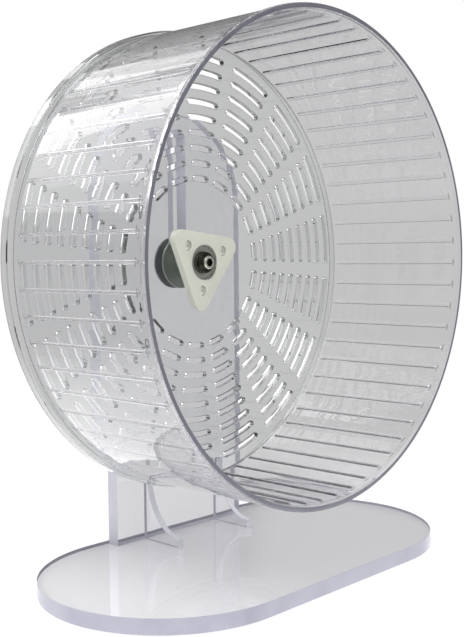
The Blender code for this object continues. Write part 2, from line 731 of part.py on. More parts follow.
# Axle and what clamps it in the slot
def build_axle(frame):
    profile = rod_profile(AXLE_RADIUS, AXLE_FRONT_Y, AXLE_BACK_Y, AXLE_CHAMFER)
    axle = turned("axle", profile, DARK_STEEL, frame, closed=False)
    socket = cut_cylinder(
        "axle_socket",
        hexagon_corner(SOCKET_FLATS),
        AXLE_FRONT_Y - CUT_OVERRUN,
        AXLE_FRONT_Y + SOCKET_DEPTH,
        frame,
        sides=HEXAGON_SIDES,
    )
    add_boolean(axle, socket, "DIFFERENCE")


def build_retaining_nut(frame):
    """A thin round nut that keeps the bearing's inner ring against the spacer."""
    outside = NUT_BORE_RADIUS + RETAINING_NUT_WALL
    profile = [
        (NUT_BORE_RADIUS, RETAINING_NUT_FRONT_Y),
        (NUT_BORE_RADIUS, RETAINING_NUT_BACK_Y),
        (outside, RETAINING_NUT_BACK_Y),
        (outside, RETAINING_NUT_FRONT_Y + AXLE_CHAMFER),
        (outside - AXLE_CHAMFER, RETAINING_NUT_FRONT_Y),
    ]
    turned("retaining_nut", profile, DARK_STEEL, frame)


def build_spacer(frame):
    outside = NUT_BORE_RADIUS + SPACER_WALL
    profile = ring_profile(NUT_BORE_RADIUS, outside, SPACER_FRONT_Y, SPACER_BACK_Y)
    turned("axle_spacer", profile, ZINC_STEEL, frame)


def build_clamp_disc(frame):
    """A flange that bears on the upright, with a round guide that reaches into the height slot."""
    guide_back = CLAMP_DISC_BACK_Y + GUIDE_LENGTH
    edge = CLAMP_DISC_RADIUS - CLAMP_DISC_CHAMFER
    profile = [
        (NUT_BORE_RADIUS, CLAMP_DISC_FRONT_Y),
        (NUT_BORE_RADIUS, guide_back),
        (GUIDE_RADIUS, guide_back),
        (GUIDE_RADIUS, CLAMP_DISC_BACK_Y),
        (edge, CLAMP_DISC_BACK_Y),
        (CLAMP_DISC_RADIUS, CLAMP_DISC_BACK_Y - CLAMP_DISC_CHAMFER),
        (CLAMP_DISC_RADIUS, CLAMP_DISC_FRONT_Y + CLAMP_DISC_CHAMFER),
        (edge, CLAMP_DISC_FRONT_Y),
    ]
    turned("clamp_disc", profile, POLISHED_STEEL, frame)


def build_rear_washer(frame):
    back = WASHER_FRONT_Y + WASHER_THICKNESS
    profile = ring_profile(NUT_BORE_RADIUS, WASHER_RADIUS, WASHER_FRONT_Y, back)
    turned("rear_washer", profile, ZINC_STEEL, frame)


def build_stand():
    build_base()
    build_upright()
    build_gusset("gusset_left", -1)
    build_gusset("gusset_right", 1)


def build_all():
    build_stand()
    carriage = make_empty("carriage_frame", (0, 0, AXLE_HEIGHT))
    wheel = make_empty("wheel_frame", (0, 0, 0), carriage)
    cage = make_empty("cage_frame", (0, 0, 0), carriage)
    nut = make_empty("clamp_nut_frame", (0, 0, 0), carriage)
    build_running_wall(wheel)
    build_back_disc(wheel)
    build_hub_cap(wheel)
    build_cap_fasteners(wheel)
    build_bearing_rings(wheel, carriage)
    build_shields(wheel)
    build_balls_and_cage(cage)
    build_axle(carriage)
    build_retaining_nut(carriage)
    build_spacer(carriage)
    build_clamp_disc(carriage)
    build_rear_washer(carriage)
    build_nut("clamp_nut", CLAMP_NUT_FLATS, CLAMP_NUT_FRONT_Y, CLAMP_NUT_BACK_Y, AXLE_RADIUS, ZINC_STEEL, nut)


build_all()
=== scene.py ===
"""Looks for the clear hamster wheel: finer pieces, finishes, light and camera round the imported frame."""
import math

import bmesh
import bpy
from mathutils import Matrix, Vector


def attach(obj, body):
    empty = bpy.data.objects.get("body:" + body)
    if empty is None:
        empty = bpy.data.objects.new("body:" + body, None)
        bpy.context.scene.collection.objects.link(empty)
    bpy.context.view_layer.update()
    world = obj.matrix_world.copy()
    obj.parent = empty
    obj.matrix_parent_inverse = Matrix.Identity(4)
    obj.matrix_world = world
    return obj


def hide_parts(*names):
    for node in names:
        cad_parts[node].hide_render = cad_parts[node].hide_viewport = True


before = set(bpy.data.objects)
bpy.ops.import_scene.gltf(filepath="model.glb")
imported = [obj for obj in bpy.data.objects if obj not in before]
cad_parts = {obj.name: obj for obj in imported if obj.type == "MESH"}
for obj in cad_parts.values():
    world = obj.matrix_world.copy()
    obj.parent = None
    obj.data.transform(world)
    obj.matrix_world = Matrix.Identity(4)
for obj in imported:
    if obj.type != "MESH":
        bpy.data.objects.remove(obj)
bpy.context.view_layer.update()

FULL_TURN = 2 * math.pi
QUARTER_TURN = math.pi / 2

# Sizes that the finer pieces share with the frame, in metres; a nut's are its flats, front
# and back, and the washer's its bore, radius, front and back
AXLE_HEIGHT = 0.171
BASE_LENGTH = 0.262
BASE_WIDTH = 0.140
BASE_THICKNESS = 0.008
SHEET_EDGE = 0.0006
UPRIGHT_WIDTH = 0.102
UPRIGHT_FOOT = 0.0083
UPRIGHT_TOP = 0.25825
UPRIGHT_FRONT = 0.0555
UPRIGHT_BACK = 0.0635
SLOT_RADIUS = 0.00525
SLOT_TOP = 0.24975
GUSSET_REACH = 0.029
GUSSET_DEPTH = 0.029
GUSSET_RISE = 0.040
GUSSET_TIP = 0.005
GUSSET_TOP = 0.003
GUSSET_THICKNESS = 0.004
GUSSET_BACK = 0.0552

RIM_FRONT = -0.0610
RIM_BEAD = 0.0006
RIM_BEAD_WIDTH = 0.0030
RIM_ROUNDINGS = (0.0008, 0.0012)
WALL_BACK = 0.0375
WALL_INSIDE = 0.1275
WALL_OUTSIDE = 0.1300
RIB_COUNT = 60
RIB_TURN = math.radians(-0.6)
RIB_WIDTH = 0.0023
RIB_FRONT = -0.0550
RIB_BACK = 0.0340

DISC_FRONT = 0.0378
DISC_BACK = 0.0410
LIP_RADIUS = 0.1322
LIP_INSIDE = 0.1304
LIP_FRONT = 0.0382
LIP_BACK = 0.0447
PLATE_RADIUS = 0.1290

CAP_FRONT = 0.0331
CAP_BACK = 0.0375
CAP_REACH = 0.0282
CAP_CORNER = 0.0058
CAP_EDGE = 0.0010
CAP_TURN = math.radians(-96.5)
CAP_OPENING = 0.0103
CAP_POCKET = 0.0113
CAP_COLLAR = 0.0131
COLLAR_BACK = 0.0418
CAP_LIP_BACK = 0.0339
SCREW_CIRCLE = 0.016576
SCREW_RADIUS = 0.0015
SCREW_HOLE = 0.0018
SCREW_TIP = 0.0443
SCREW_HEAD = 0.0027
SCREW_HEAD_FRONT = 0.0334
SCREW_HEAD_BACK = 0.0348
HEAD_RIM = 0.0005
THREAD_PITCH = 0.0005
THREAD_DEPTH = 0.00012
RECESS_RADIUS = 0.0030
RECESS_BACK = 0.0351
CROSS_REACH = 0.0011
CROSS_HALF = 0.00035
CROSS_DEPTH = 0.0008
CROSS_TAPER = 0.72
SMALL_NUT = (0.0055, 0.0413, 0.0437)
NUT_FACE_SHARE = 0.95
NUT_LEAD = 0.0004

BEARING_FRONT = 0.0342
BEARING_MIDDLE = 0.0377
BEARING_BACK = 0.0412
BEARING_BORE = 0.0040
BEARING_OUTSIDE = 0.0110
INNER_SHOULDER = 0.00605
OUTER_SHOULDER = 0.00895
TRACK_RADIUS = 0.00205
TRACK_OPENING = 0.00145
SHIELD_SEAT = 0.00955
SHIELD_DEPTH = 0.0010
SHIELD_SUNK = 0.0003
SHIELD_THICKNESS = 0.0004
BALL_RADIUS = 0.0019
BALL_CIRCLE = 0.0075
BALL_COUNT = 7

AXLE_RADIUS = 0.0039
AXLE_FRONT = 0.0292
AXLE_BACK = 0.0736
AXLE_CHAMFER = 0.0005
SOCKET_FLATS = 0.0045
SOCKET_BACK = 0.0322
SOCKET_POINT = 0.0008
RETAINER_RADIUS = 0.0062
RETAINER_FRONT = 0.0315
RETAINER_BACK = 0.0339
SPACER_RADIUS = 0.0060
SPACER_FRONT = 0.0415
SPACER_BACK = 0.0507
CLAMP_RADIUS = 0.0153
CLAMP_FRONT = 0.0510
FLANGE_FRONT = 0.0540
CLAMP_BACK = 0.0552
GUIDE_RADIUS = 0.00495
GUIDE_BACK = 0.0612
WASHER = (BEARING_BORE, 0.0153, 0.0638, 0.0653)
CLAMP_NUT = (0.0130, 0.0656, 0.0721)

# Small roundings and play; how far a cutting tool stands out past what it cuts
HAIR, FINE, SOFT, BROAD = 0.0001, 0.0002, 0.0003, 0.0004
OVERCUT = 0.001

# How fine the round pieces are
ARCH_STEPS = 96
GUSSET_STEPS = 48
TURNED_STEPS = 96
FLANGE_STEPS = 144
PLATE_STEPS = 360
HOLE_STEPS = 32
SMALL_STEPS = 40
FILLET_STEPS = 4
VENT_STEPS = 48
SEAM_DISTANCE = 0.000004
MERGE_DISTANCE = 0.000002
SMOOTH_ANGLE = math.radians(35)


# Node trees, built a node at a time
def operator(operation, swapped=False):
    def worked_out(self, other):
        return self.kit.math(operation, *((other, self) if swapped else (self, other)))
    return worked_out


class Value:
    """A node's output: arithmetic on it adds the nodes that work the answer out."""

    def __init__(self, kit, socket):
        self.kit = kit
        self.socket = socket

    __add__ = __radd__ = operator("ADD")
    __mul__ = __rmul__ = operator("MULTIPLY")
    __sub__, __rsub__ = operator("SUBTRACT"), operator("SUBTRACT", swapped=True)
    __truediv__, __rtruediv__ = operator("DIVIDE"), operator("DIVIDE", swapped=True)
    __pow__ = operator("POWER")


class NodeKit:
    """Adds nodes to one tree; an input is given as a number, a colour or another node's output."""

    def __init__(self, tree):
        self.tree = tree

    def add(self, kind, inputs=None, **settings):
        node = self.tree.nodes.new(kind)
        for name, value in settings.items():
            setattr(node, name, value)
        self.fill(node, inputs or {})
        return node

    def fill(self, node, inputs):
        for key, value in inputs.items():
            self.feed(node.inputs[key], value)

    def feed(self, socket, value):
        if isinstance(value, Value):
            self.tree.links.new(value.socket, socket)
        else:
            socket.default_value = value

    def first(self, kind, inputs=None, **settings):
        """A new node's first output."""
        return Value(self, self.add(kind, inputs, **settings).outputs[0])

    def named(self, kind, inputs=None, **settings):
        """A new node's outputs by their names."""
        return {socket.name: Value(self, socket) for socket in self.add(kind, inputs, **settings).outputs}

    def geometry(self, kind, **inputs):
        """A Geometry Nodes node's first output; an underscore stands for a space in an input's name."""
        return self.first(f"GeometryNode{kind}", {key.replace("_", " "): inputs[key] for key in inputs})

    def math(self, operation, *values, clamp=False):
        return self.first("ShaderNodeMath", dict(enumerate(values)), operation=operation, use_clamp=clamp)

    def distance(self, across, up):
        return self.math("SQRT", across ** 2.0 + up ** 2.0)

    def smooth_step(self, value, low, high, from_value=0.0, to_value=1.0):
        ends = {"From Min": low, "From Max": high, "To Min": from_value, "To Max": to_value}
        return self.first("ShaderNodeMapRange", {"Value": value, **ends}, interpolation_type="SMOOTHSTEP")

    def blend_colour(self, share, first, second):
        node = self.add("ShaderNodeMix", {0: share, 6: first, 7: second}, data_type="RGBA")
        return Value(self, node.outputs[2])

    def split(self, vector):
        """The X, Y and Z of a vector."""
        return self.named("ShaderNodeSeparateXYZ", {"Vector": vector}).values()

    def vector(self, **parts):
        return self.first("ShaderNodeCombineXYZ", parts)

    def polar(self, length, turn):
        """How far across and up a length reaches at a turn."""
        return self.math("COSINE", turn) * length, self.math("SINE", turn) * length

    def place(self):
        return self.named("ShaderNodeTexCoord")["Object"]

    def noise(self, place, scale, detail, distortion=0.0):
        inputs = {"Vector": place, "Scale": scale, "Detail": detail, "Distortion": distortion}
        return self.named("ShaderNodeTexNoise", inputs)["Fac"]

    def bump(self, height, distance, strength=1.0, **under):
        inputs = {"Height": height, "Distance": distance, "Strength": strength, **under}
        return self.first("ShaderNodeBump", inputs)

    def mix_at_output(self, share, shader, other):
        """The material shows its main shader, and the other one by a share."""
        main = Value(self, shader.outputs["BSDF"])
        mixed = self.first("ShaderNodeMixShader", {0: share, 1: main, 2: other})
        self.feed(self.tree.nodes["Material Output"].inputs["Surface"], mixed)


def opaque(colour):
    return (*colour, 1.0)


# Shader groups: what more than one finish uses
def new_group(name, inputs, *outputs):
    """A group whose inputs are numbers or colours; of its outputs, the one called Color is a colour."""
    group = bpy.data.node_groups.new(name, "ShaderNodeTree")
    for label, value in inputs.items():
        kind = "NodeSocketFloat" if isinstance(value, float) else "NodeSocketColor"
        group.interface.new_socket(label, in_out="INPUT", socket_type=kind).default_value = value
    for label in outputs:
        kind = "NodeSocketColor" if label == "Color" else "NodeSocketFloat"
        group.interface.new_socket(label, in_out="OUTPUT", socket_type=kind)
    kit = NodeKit(group)
    return group, kit, kit.named("NodeGroupInput"), kit.add("NodeGroupOutput")


def build_handling_group():
    """Faint wiped smears and moulding waves on clear plastic: a roughness and a height."""
    group, kit, given, out = new_group(
        "handling_marks", {"Roughness": 0.02, "Smears": 0.02, "Wave Size": 25.0}, "Roughness", "Height"
    )
    place = kit.place()
    share = kit.smooth_step(kit.noise(place, scale=38.0, detail=4.0, distortion=0.6), 0.48, 0.72)
    rough = share * given["Smears"] + given["Roughness"]
    kit.fill(out, {"Roughness": rough, "Height": kit.noise(place, given["Wave Size"], detail=1.0)})
    return group


def build_streak_group():
    """Long shallow waves that the mould left along the drum, none of them at its rim: a height."""
    group, kit, given, out = new_group("moulding_streaks", {"Fineness": 130.0, "Length": 1.2}, "Height")
    x, y, z = kit.split(kit.place())
    turn = kit.math("ARCTAN2", z - AXLE_HEIGHT, x)
    across, up = kit.polar(given["Fineness"] * WALL_OUTSIDE, turn)
    spot = kit.vector(X=across, Y=y * given["Length"], Z=up)
    behind_rim = kit.smooth_step(y, RIM_FRONT + RIM_BEAD_WIDTH / 2, RIM_FRONT + 2 * RIM_BEAD_WIDTH)
    kit.fill(out, {"Height": kit.noise(spot, scale=1.0, detail=1.5) * behind_rim})
    return group


def build_rib_end_shade_group():
    """Painted shade on the drum's outside: dark dashes where each rib ends behind the rim, as a colour for
    the plastic.
    """
    inputs = {
        "Plastic": (1.0, 1.0, 1.0, 1.0), "Painted Shade": (0.45, 0.45, 0.48, 1.0),
        "Half Length": 0.0025, "Half Width": 0.0007,
    }
    group, kit, given, out = new_group("rib_end_painted_shade", inputs, "Color")
    x, y, z = kit.split(kit.place())
    up = z - AXLE_HEIGHT
    half_pitch = math.pi / RIB_COUNT
    wrapped = kit.math("WRAP", kit.math("ARCTAN2", up, x) - RIB_TURN, half_pitch, -half_pitch)
    across = wrapped * WALL_INSIDE / given["Half Length"]
    along = (y - RIB_FRONT) / given["Half Width"]
    outside = kit.math("GREATER_THAN", kit.distance(x, up), (WALL_INSIDE + WALL_OUTSIDE) / 2)
    share = kit.smooth_step(across ** 2.0 + along ** 2.0, 0.5, 1.2, 1.0, 0.0) * outside
    kit.fill(out, {"Color": kit.blend_colour(share, given["Plastic"], given["Painted Shade"])})
    return group


def build_turning_group():
    """Fine rings left by the lathe round the axle, with worn patches: a roughness, a height and a tone."""
    group, kit, given, out = new_group(
        "turning_marks", {"Roughness": 0.25, "Rings": 9000.0, "Wear": 0.1}, "Roughness", "Height", "Tone"
    )
    place = kit.place()
    x, y, z = kit.split(place)
    along = y * 0.7 + kit.distance(x, z - AXLE_HEIGHT)
    uneven = kit.noise(place, scale=420.0, detail=3.0)
    kit.fill(out, {
        "Height": kit.math("SINE", along * given["Rings"]) * 0.5 + uneven,
        "Roughness": uneven * given["Wear"] + given["Roughness"],
        "Tone": uneven * 0.3 + 0.85,
    })
    return group


HANDLING_MARKS = build_handling_group()
TURNING_MARKS = build_turning_group()
MOULDING_STREAKS = build_streak_group()
RIB_END_SHADE = build_rib_end_shade_group()


# Materials
ACRYLIC_IOR = 1.49
LAMP_LIGHT_SHARE = 0.94
DARK_TONE = 0.72


def new_material(name):
    material = bpy.data.materials.new(name)
    material.use_nodes = True
    return material, NodeKit(material.node_tree), material.node_tree.nodes["Principled BSDF"]


def marked_material(name, group, settings, bump_distance, bump_strength=1.0):
    """A material whose roughness and bump come from a group of marks, placed with its own values."""
    material, kit, shader = new_material(name)
    marks = kit.named("ShaderNodeGroup", settings, node_tree=group)
    marks["Normal"] = kit.bump(marks["Height"], bump_distance, bump_strength)
    kit.fill(shader, {label: marks[label] for label in ("Roughness", "Normal")})
    return material, kit, shader, marks


def clear_plastic(name, tint, taken, density, wave_size, wave_depth, streak_depth=0.0):
    """Clear plastic that takes light by its depth, and lets lamp light pass to what is behind it."""
    settings = {"Roughness": 0.0, "Smears": 0.02, "Wave Size": wave_size}
    material, kit, shader, marks = marked_material(name, HANDLING_MARKS, settings, wave_depth)
    kit.fill(shader, {"Base Color": opaque(tint), "IOR": ACRYLIC_IOR, "Transmission Weight": 1.0})
    if streak_depth:
        height = kit.first("ShaderNodeGroup", node_tree=MOULDING_STREAKS)
        # Painted shade: dark spots where the ribs end, mixed into the drum's tint.
        colour = kit.first("ShaderNodeGroup", {"Plastic": opaque(tint)}, node_tree=RIB_END_SHADE)
        normal = kit.bump(height, streak_depth, Normal=marks["Normal"])
        kit.fill(shader, {"Base Color": colour, "Normal": normal})
    is_shadow = kit.named("ShaderNodeLightPath")["Is Shadow Ray"]
    passing = tuple(LAMP_LIGHT_SHARE * part for part in tint)
    unseen = kit.first("ShaderNodeBsdfTransparent", {"Color": opaque(passing)})
    kit.mix_at_output(is_shadow, shader, unseen)
    depth = kit.first("ShaderNodeVolumeAbsorption", {"Color": opaque(taken), "Density": density})
    kit.feed(material.node_tree.nodes["Material Output"].inputs["Volume"], depth)
    return material


def turned_metal(name, colour, roughness, wear, rings, ring_depth):
    """Metal turned on a lathe: its tone and gloss change a little over the surface."""
    settings = {"Roughness": roughness, "Wear": wear, "Rings": rings}
    material, kit, shader, marks = marked_material(name, TURNING_MARKS, settings, ring_depth)
    dark = tuple(DARK_TONE * part for part in colour)
    tone = kit.blend_colour(marks["Tone"], opaque(dark), opaque(colour))
    kit.fill(shader, {"Base Color": tone, "Metallic": 1.0})
    return material


def hazy_plastic(name, dark, light, settings, cloud_scale, cloud_detail, bump_distance, bump_strength):
    """Plastic that fine marks make hazy, its colour clouded between two tones."""
    material, kit, shader, _ = marked_material(name, HANDLING_MARKS, settings, bump_distance, bump_strength)
    cloud = kit.noise(kit.place(), cloud_scale, cloud_detail)
    kit.fill(shader, {"Base Color": kit.blend_colour(cloud, opaque(dark), opaque(light))})
    return material


def hazy_edge(name, dark, light):
    """An opaque hazy finish for an edge of clear plastic; the sawn edge is its own cut finish, and the copies
    in other tones hold painted shade (base edge, rim) and painted light (polished edge).
    """
    settings = {"Roughness": 0.32, "Smears": 0.16, "Wave Size": 620.0}
    return hazy_plastic(name, dark, light, settings, 60.0, 3.0, bump_distance=0.00004, bump_strength=0.6)


def milky_plastic(name, dark, light):
    """Moulded milky plastic with a fine grain, which lets light a little way in."""
    settings = {"Roughness": 0.30, "Smears": 0.10, "Wave Size": 900.0}
    material = hazy_plastic(name, dark, light, settings, 90.0, 2.0, bump_distance=0.00003, bump_strength=0.5)
    depth = {"Subsurface Weight": 0.25, "Subsurface Scale": 0.002, "Subsurface Radius": (1.0, 1.0, 0.8)}
    NodeKit(material.node_tree).fill(material.node_tree.nodes["Principled BSDF"], depth)
    return material


# Name, tint, tint of the depth and its density, size and depth of the waves, depth of the streaks
CLEAR_DRUM = clear_plastic("clear_drum", (0.99, 0.99, 1.0), (0.0, 0.0, 0.10), 12.0, 22.0, 0.0003, 0.00022)
CLEAR_DISC = clear_plastic("clear_disc", (0.985, 0.99, 0.99), (0.0, 0.04, 0.04), 16.0, 30.0, 0.0002)
CLEAR_SHEET = clear_plastic("clear_acrylic", (0.99, 0.99, 1.0), (0.02, 0.0, 0.30), 3.6, 12.0, 0.0001)
# Painted shade: the base sheet's edge is a darker copy of the sawn edge.
BASE_EDGE_PAINTED_SHADE = hazy_edge("base_edge_painted_shade", (0.35, 0.35, 0.43), (0.52, 0.52, 0.61))
SAWN_EDGE = hazy_edge("sawn_edge", (0.56, 0.55, 0.64), (0.76, 0.76, 0.84))
# Painted light: the clear polished edge is near white, for the light through it and its glints.
POLISHED_EDGE_PAINTED_LIGHT = hazy_edge("polished_edge_painted_light", (0.80, 0.80, 0.86), (0.92, 0.92, 0.96))
# Painted shade: the drum's clear front rim is dark grey.
RIM_PAINTED_SHADE = hazy_edge("rim_painted_shade", (0.13, 0.13, 0.17), (0.26, 0.26, 0.31))
MILKY_PLASTIC = milky_plastic("milky_plastic", (0.71, 0.73, 0.63), (0.82, 0.83, 0.73))
# Name, colour, roughness and how much wear adds to it, rings and their depth
BEARING_STEEL = turned_metal("bearing_steel", (0.50, 0.50, 0.46), 0.22, 0.12, 9000.0, 0.000004)
SHIELD_STEEL = turned_metal("shield_steel", (0.42, 0.42, 0.38), 0.30, 0.15, 7000.0, 0.000004)
AXLE_STEEL = turned_metal("dark_steel", (0.72, 0.72, 0.64), 0.16, 0.12, 6000.0, 0.000004)
# Black steel is the round nut's own colour, and painted shade in the axle's hex socket.
BLACK_STEEL_AND_SHADE = turned_metal("black_steel_and_shade", (0.045, 0.045, 0.035), 0.20, 0.10, 6000.0, 0.000004)
CLAMP_STEEL = turned_metal("clamp_steel", (0.25, 0.29, 0.26), 0.34, 0.14, 5000.0, 0.000003)
WASHER_STEEL = turned_metal("washer_steel", (0.13, 0.13, 0.14), 0.36, 0.14, 5000.0, 0.000003)
POLISHED_STEEL = turned_metal("polished_steel", (0.52, 0.55, 0.53), 0.12, 0.10, 5000.0, 0.000003)
ZINC_STEEL = turned_metal("zinc_steel", (0.86, 0.86, 0.80), 0.38, 0.16, 6500.0, 0.000005)


# Shapes
def new_object(name, data):
    made = bpy.data.objects.new(name, data)
    bpy.context.scene.collection.objects.link(made)
    return made


def show(name, mesh, material):
    """A finished mesh as an object at the origin, smooth over its curves and sharp at its edges."""
    piece = new_object(name, mesh)
    dress(piece, material)
    return piece


def dress(piece, material):
    piece.data.materials.clear()
    piece.data.materials.append(material)
    smooth(piece)


def smooth(piece):
    piece.data.shade_smooth()
    piece.data.set_sharp_from_angle(angle=SMOOTH_ANGLE)


def seat(piece, body, slot, *nodes):
    """Put a finished piece in place of the frame's nodes."""
    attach(piece, body)
    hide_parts(*nodes)


def discard(piece):
    bpy.data.objects.remove(piece, do_unlink=True)


def modified_mesh(piece):
    """A new mesh with the piece's modifiers taken in."""
    bpy.context.view_layer.update()
    return bpy.data.meshes.new_from_object(piece.evaluated_get(bpy.context.evaluated_depsgraph_get()))


def close_shape(shape, mesh):
    """Face everything outward and write the shape to its mesh."""
    bmesh.ops.recalc_face_normals(shape, faces=shape.faces)
    shape.to_mesh(mesh)
    shape.free()
    return mesh


def polar(radius, turn):
    return radius * math.cos(turn), radius * math.sin(turn)


def even_turns(steps):
    return [FULL_TURN * step / steps for step in range(steps)]


def arc_points(centre, radius, start, end, steps):
    turns = (start + (end - start) * step / steps for step in range(steps + 1))
    return [(centre[0] + radius * math.cos(turn), centre[1] + radius * math.sin(turn)) for turn in turns]


def filleted(corners):
    """A closed outline whose corners, given as (across, along, radius), are rounded off."""
    outline = []
    for index, (across, along, radius) in enumerate(corners):
        corner = Vector((across, along))
        before = (Vector(corners[index - 1][:2]) - corner).normalized()
        after = (Vector(corners[(index + 1) % len(corners)][:2]) - corner).normalized()
        if radius == 0:
            outline.append(tuple(corner))
            continue
        half = before.angle(after) / 2
        centre = corner + (before + after).normalized() * radius / math.sin(half)
        reach = radius / math.tan(half)
        start, end = corner + before * reach - centre, corner + after * reach - centre
        first = math.atan2(start.y, start.x)
        sweep = (math.atan2(end.y, end.x) - first + math.pi) % FULL_TURN - math.pi
        outline += arc_points(centre, radius, first, first + sweep, FILLET_STEPS)
    return outline


def lathe_mesh(name, profile, turns):
    """Revolve a profile of (radius, y) round the axle; where it meets the axis it closes in a pole."""
    shape = bmesh.new()
    rows = []
    for radius, along in profile:
        spots = [(0, 0)] if radius < SEAM_DISTANCE else [polar(radius, turn) for turn in turns]
        rows.append([shape.verts.new((across, along, AXLE_HEIGHT + up)) for across, up in spots])
    for row, after in zip(rows, rows[1:] + rows[:1]):
        if len(row) == 1 and len(after) == 1:
            continue
        for index in range(len(turns)):
            following = (index + 1) % len(turns)
            ring = [row[index % len(row)], row[following % len(row)]]
            ring += [after[following % len(after)], after[index % len(after)]]
            shape.faces.new(list(dict.fromkeys(ring)))
    return close_shape(shape, bpy.data.meshes.new(name))


def turned_piece(name, corners, material, steps=TURNED_STEPS):
    return show(name, lathe_mesh(name, filleted(corners), even_turns(steps)), material)


def sheet_piece(name, material, *sheet):
    return show(name, sheet_mesh(name, *sheet), material)


def tube_corners(inside, outside, front, back, roundings):
    """A plain tube's four corners: front and back of the bore, back and front of the outside."""
    places = ((inside, front), (inside, back), (outside, back), (outside, front))
    return [(*place, rounding) for place, rounding in zip(places, roundings)]


def sheet_mesh(name, outlines, thickness, place):
    """Fill the first outline, leave the others as holes, give it its thickness and put it in place."""
    curve = bpy.data.curves.new(name, "CURVE")
    curve.dimensions = "2D"
    curve.fill_mode = "BOTH"
    curve.extrude = thickness / 2
    for outline in outlines:
        spline = curve.splines.new("POLY")
        spline.points.add(len(outline) - 1)
        for point, (across, up) in zip(spline.points, outline):
            point.co = (across, up, 0, 1)
        spline.use_cyclic_u = True
    holder = new_object(name, curve)
    mesh = modified_mesh(holder)
    discard(holder)
    bpy.data.curves.remove(curve)
    shape = bmesh.new()
    shape.from_mesh(mesh)
    bmesh.ops.remove_doubles(shape, verts=shape.verts, dist=SEAM_DISTANCE)
    bmesh.ops.transform(shape, matrix=place, verts=shape.verts)
    close_shape(shape, mesh)
    mesh.name = name
    return mesh


def standing(middle_y):
    """The XZ plane at a depth, for an outline read as (x, z)."""
    return Matrix.Translation((0, middle_y, 0)) @ Matrix.Rotation(QUARTER_TURN, 4, "X")


def lifted(mesh, height):
    mesh.transform(Matrix.Translation((0, 0, height)))
    return mesh


def add_bevel(piece, width, segments, least_angle):
    bevel = piece.modifiers.new("edge", "BEVEL")
    bevel.width = width
    bevel.segments = segments
    bevel.limit_method = "ANGLE"
    bevel.angle_limit = math.radians(least_angle)


def soften_edges(piece, width):
    """Round the piece's edges off a little, and keep its flat faces flat."""
    add_bevel(piece, width, 2, 50)
    flats = piece.modifiers.new("flats", "WEIGHTED_NORMAL")
    flats.weight = 100
    flats.keep_sharp = False
    piece.data.shade_smooth()


def finish_faces(piece, material, is_chosen):
    """Give another finish to the faces whose middle and normal pass the test."""
    piece.data.materials.append(material)
    number = len(piece.data.materials) - 1
    for face in piece.data.polygons:
        if is_chosen(face.center, face.normal):
            face.material_index = number


def cut(piece, mesh, operation="DIFFERENCE"):
    """Cut a turned shape out of a piece, or join it on, and keep the result."""
    tool = new_object("tool", mesh)
    modifier = piece.modifiers.new("cut", "BOOLEAN")
    modifier.operation = operation
    modifier.solver = "EXACT"
    modifier.object = tool
    result = modified_mesh(piece)
    piece.modifiers.clear()
    piece.data = result
    discard(tool)


def taken_mesh(piece):
    """The mesh of a piece that was only there to be cut."""
    mesh = piece.data
    discard(piece)
    return mesh


def plug_mesh(radius, front, back, place=(0.0, 0.0), steps=TURNED_STEPS):
    """A plain round plug along the axle's direction, for cuts."""
    mesh = lathe_mesh("plug", [(0, back), (radius, back), (radius, front), (0, front)], even_turns(steps))
    mesh.transform(Matrix.Translation((place[0], 0, place[1])))
    return mesh


# Geometry Nodes trees
def new_geometry_tree(name, settings):
    """A tree with an input for each setting, whole numbers among them, and one for the material."""
    tree = bpy.data.node_groups.new(name, "GeometryNodeTree")
    kinds = {label: "Int" if isinstance(value, int) else "Float" for label, value in settings.items()}
    for label, kind in {"Geometry": "Geometry", **kinds, "Material": "Material"}.items():
        tree.interface.new_socket(label, in_out="INPUT", socket_type=f"NodeSocket{kind}")
    tree.interface.new_socket("Geometry", in_out="OUTPUT", socket_type="NodeSocketGeometry")
    kit = NodeKit(tree)
    return tree, kit, kit.named("NodeGroupInput")


def close_geometry_tree(kit, given, geometry):
    real = kit.geometry("RealizeInstances", Geometry=geometry)
    done = kit.geometry("SetMaterial", Geometry=real, Material=given["Material"])
    kit.feed(kit.add("NodeGroupOutput").inputs[0], done)


def grown(name, tree, start_mesh, settings, material):
    """Run a Geometry Nodes tree on a mesh and keep the result as one plain mesh."""
    holder = new_object(name, start_mesh)
    modifier = holder.modifiers.new("grow", "NODES")
    modifier.node_group = tree
    sockets = {item.name: item.identifier for item in tree.interface.items_tree if item.in_out == "INPUT"}
    for label, value in {**settings, "Material": material}.items():
        modifier[sockets[label]] = value
    mesh = modified_mesh(holder)
    discard(holder)
    mesh.name = name
    return mesh


RIBS = {
    "Rib Count": float(RIB_COUNT), "Rib Width": RIB_WIDTH, "Rib Height": 0.0012,
    "Rib Rounding": 0.00115, "Front End": RIB_FRONT, "Back End": RIB_BACK,
    "First Turn": RIB_TURN, "Wall Radius": WALL_INSIDE, "Axle Height": AXLE_HEIGHT,
}


def build_rib_tree():
    """Raises the running ribs on the inside of the drum: even bars with round ends and round tops."""
    tree, kit, given = new_geometry_tree("running_ribs", RIBS)
    x, y, z = kit.split(kit.geometry("InputPosition"))
    up = z - given["Axle Height"]
    radius = kit.distance(x, up)
    turn = kit.math("ARCTAN2", up, x) - given["First Turn"]
    half_pitch = math.pi / given["Rib Count"]
    across = kit.math("WRAP", turn, half_pitch, half_pitch * -1.0) * given["Wall Radius"]
    half = given["Rib Width"] * 0.5
    front = given["Front End"] + half - y
    back = y - (given["Back End"] - half)
    beyond = kit.math("MAXIMUM", kit.math("MAXIMUM", front, back), 0.0)
    inside = kit.math("DIVIDE", half - kit.distance(across, beyond), given["Rib Rounding"], clamp=True)
    rounding = kit.math("SQRT", 1.0 - (1.0 - inside) ** 2.0)
    on_wall = kit.math("LESS_THAN", radius, given["Wall Radius"] + HAIR)
    shrink = rounding * given["Rib Height"] * on_wall * -1.0 / radius
    offset = kit.vector(X=x * shrink, Z=up * shrink)
    raised = kit.geometry("SetPosition", Geometry=given["Geometry"], Offset=offset)
    close_geometry_tree(kit, given, raised)
    return tree


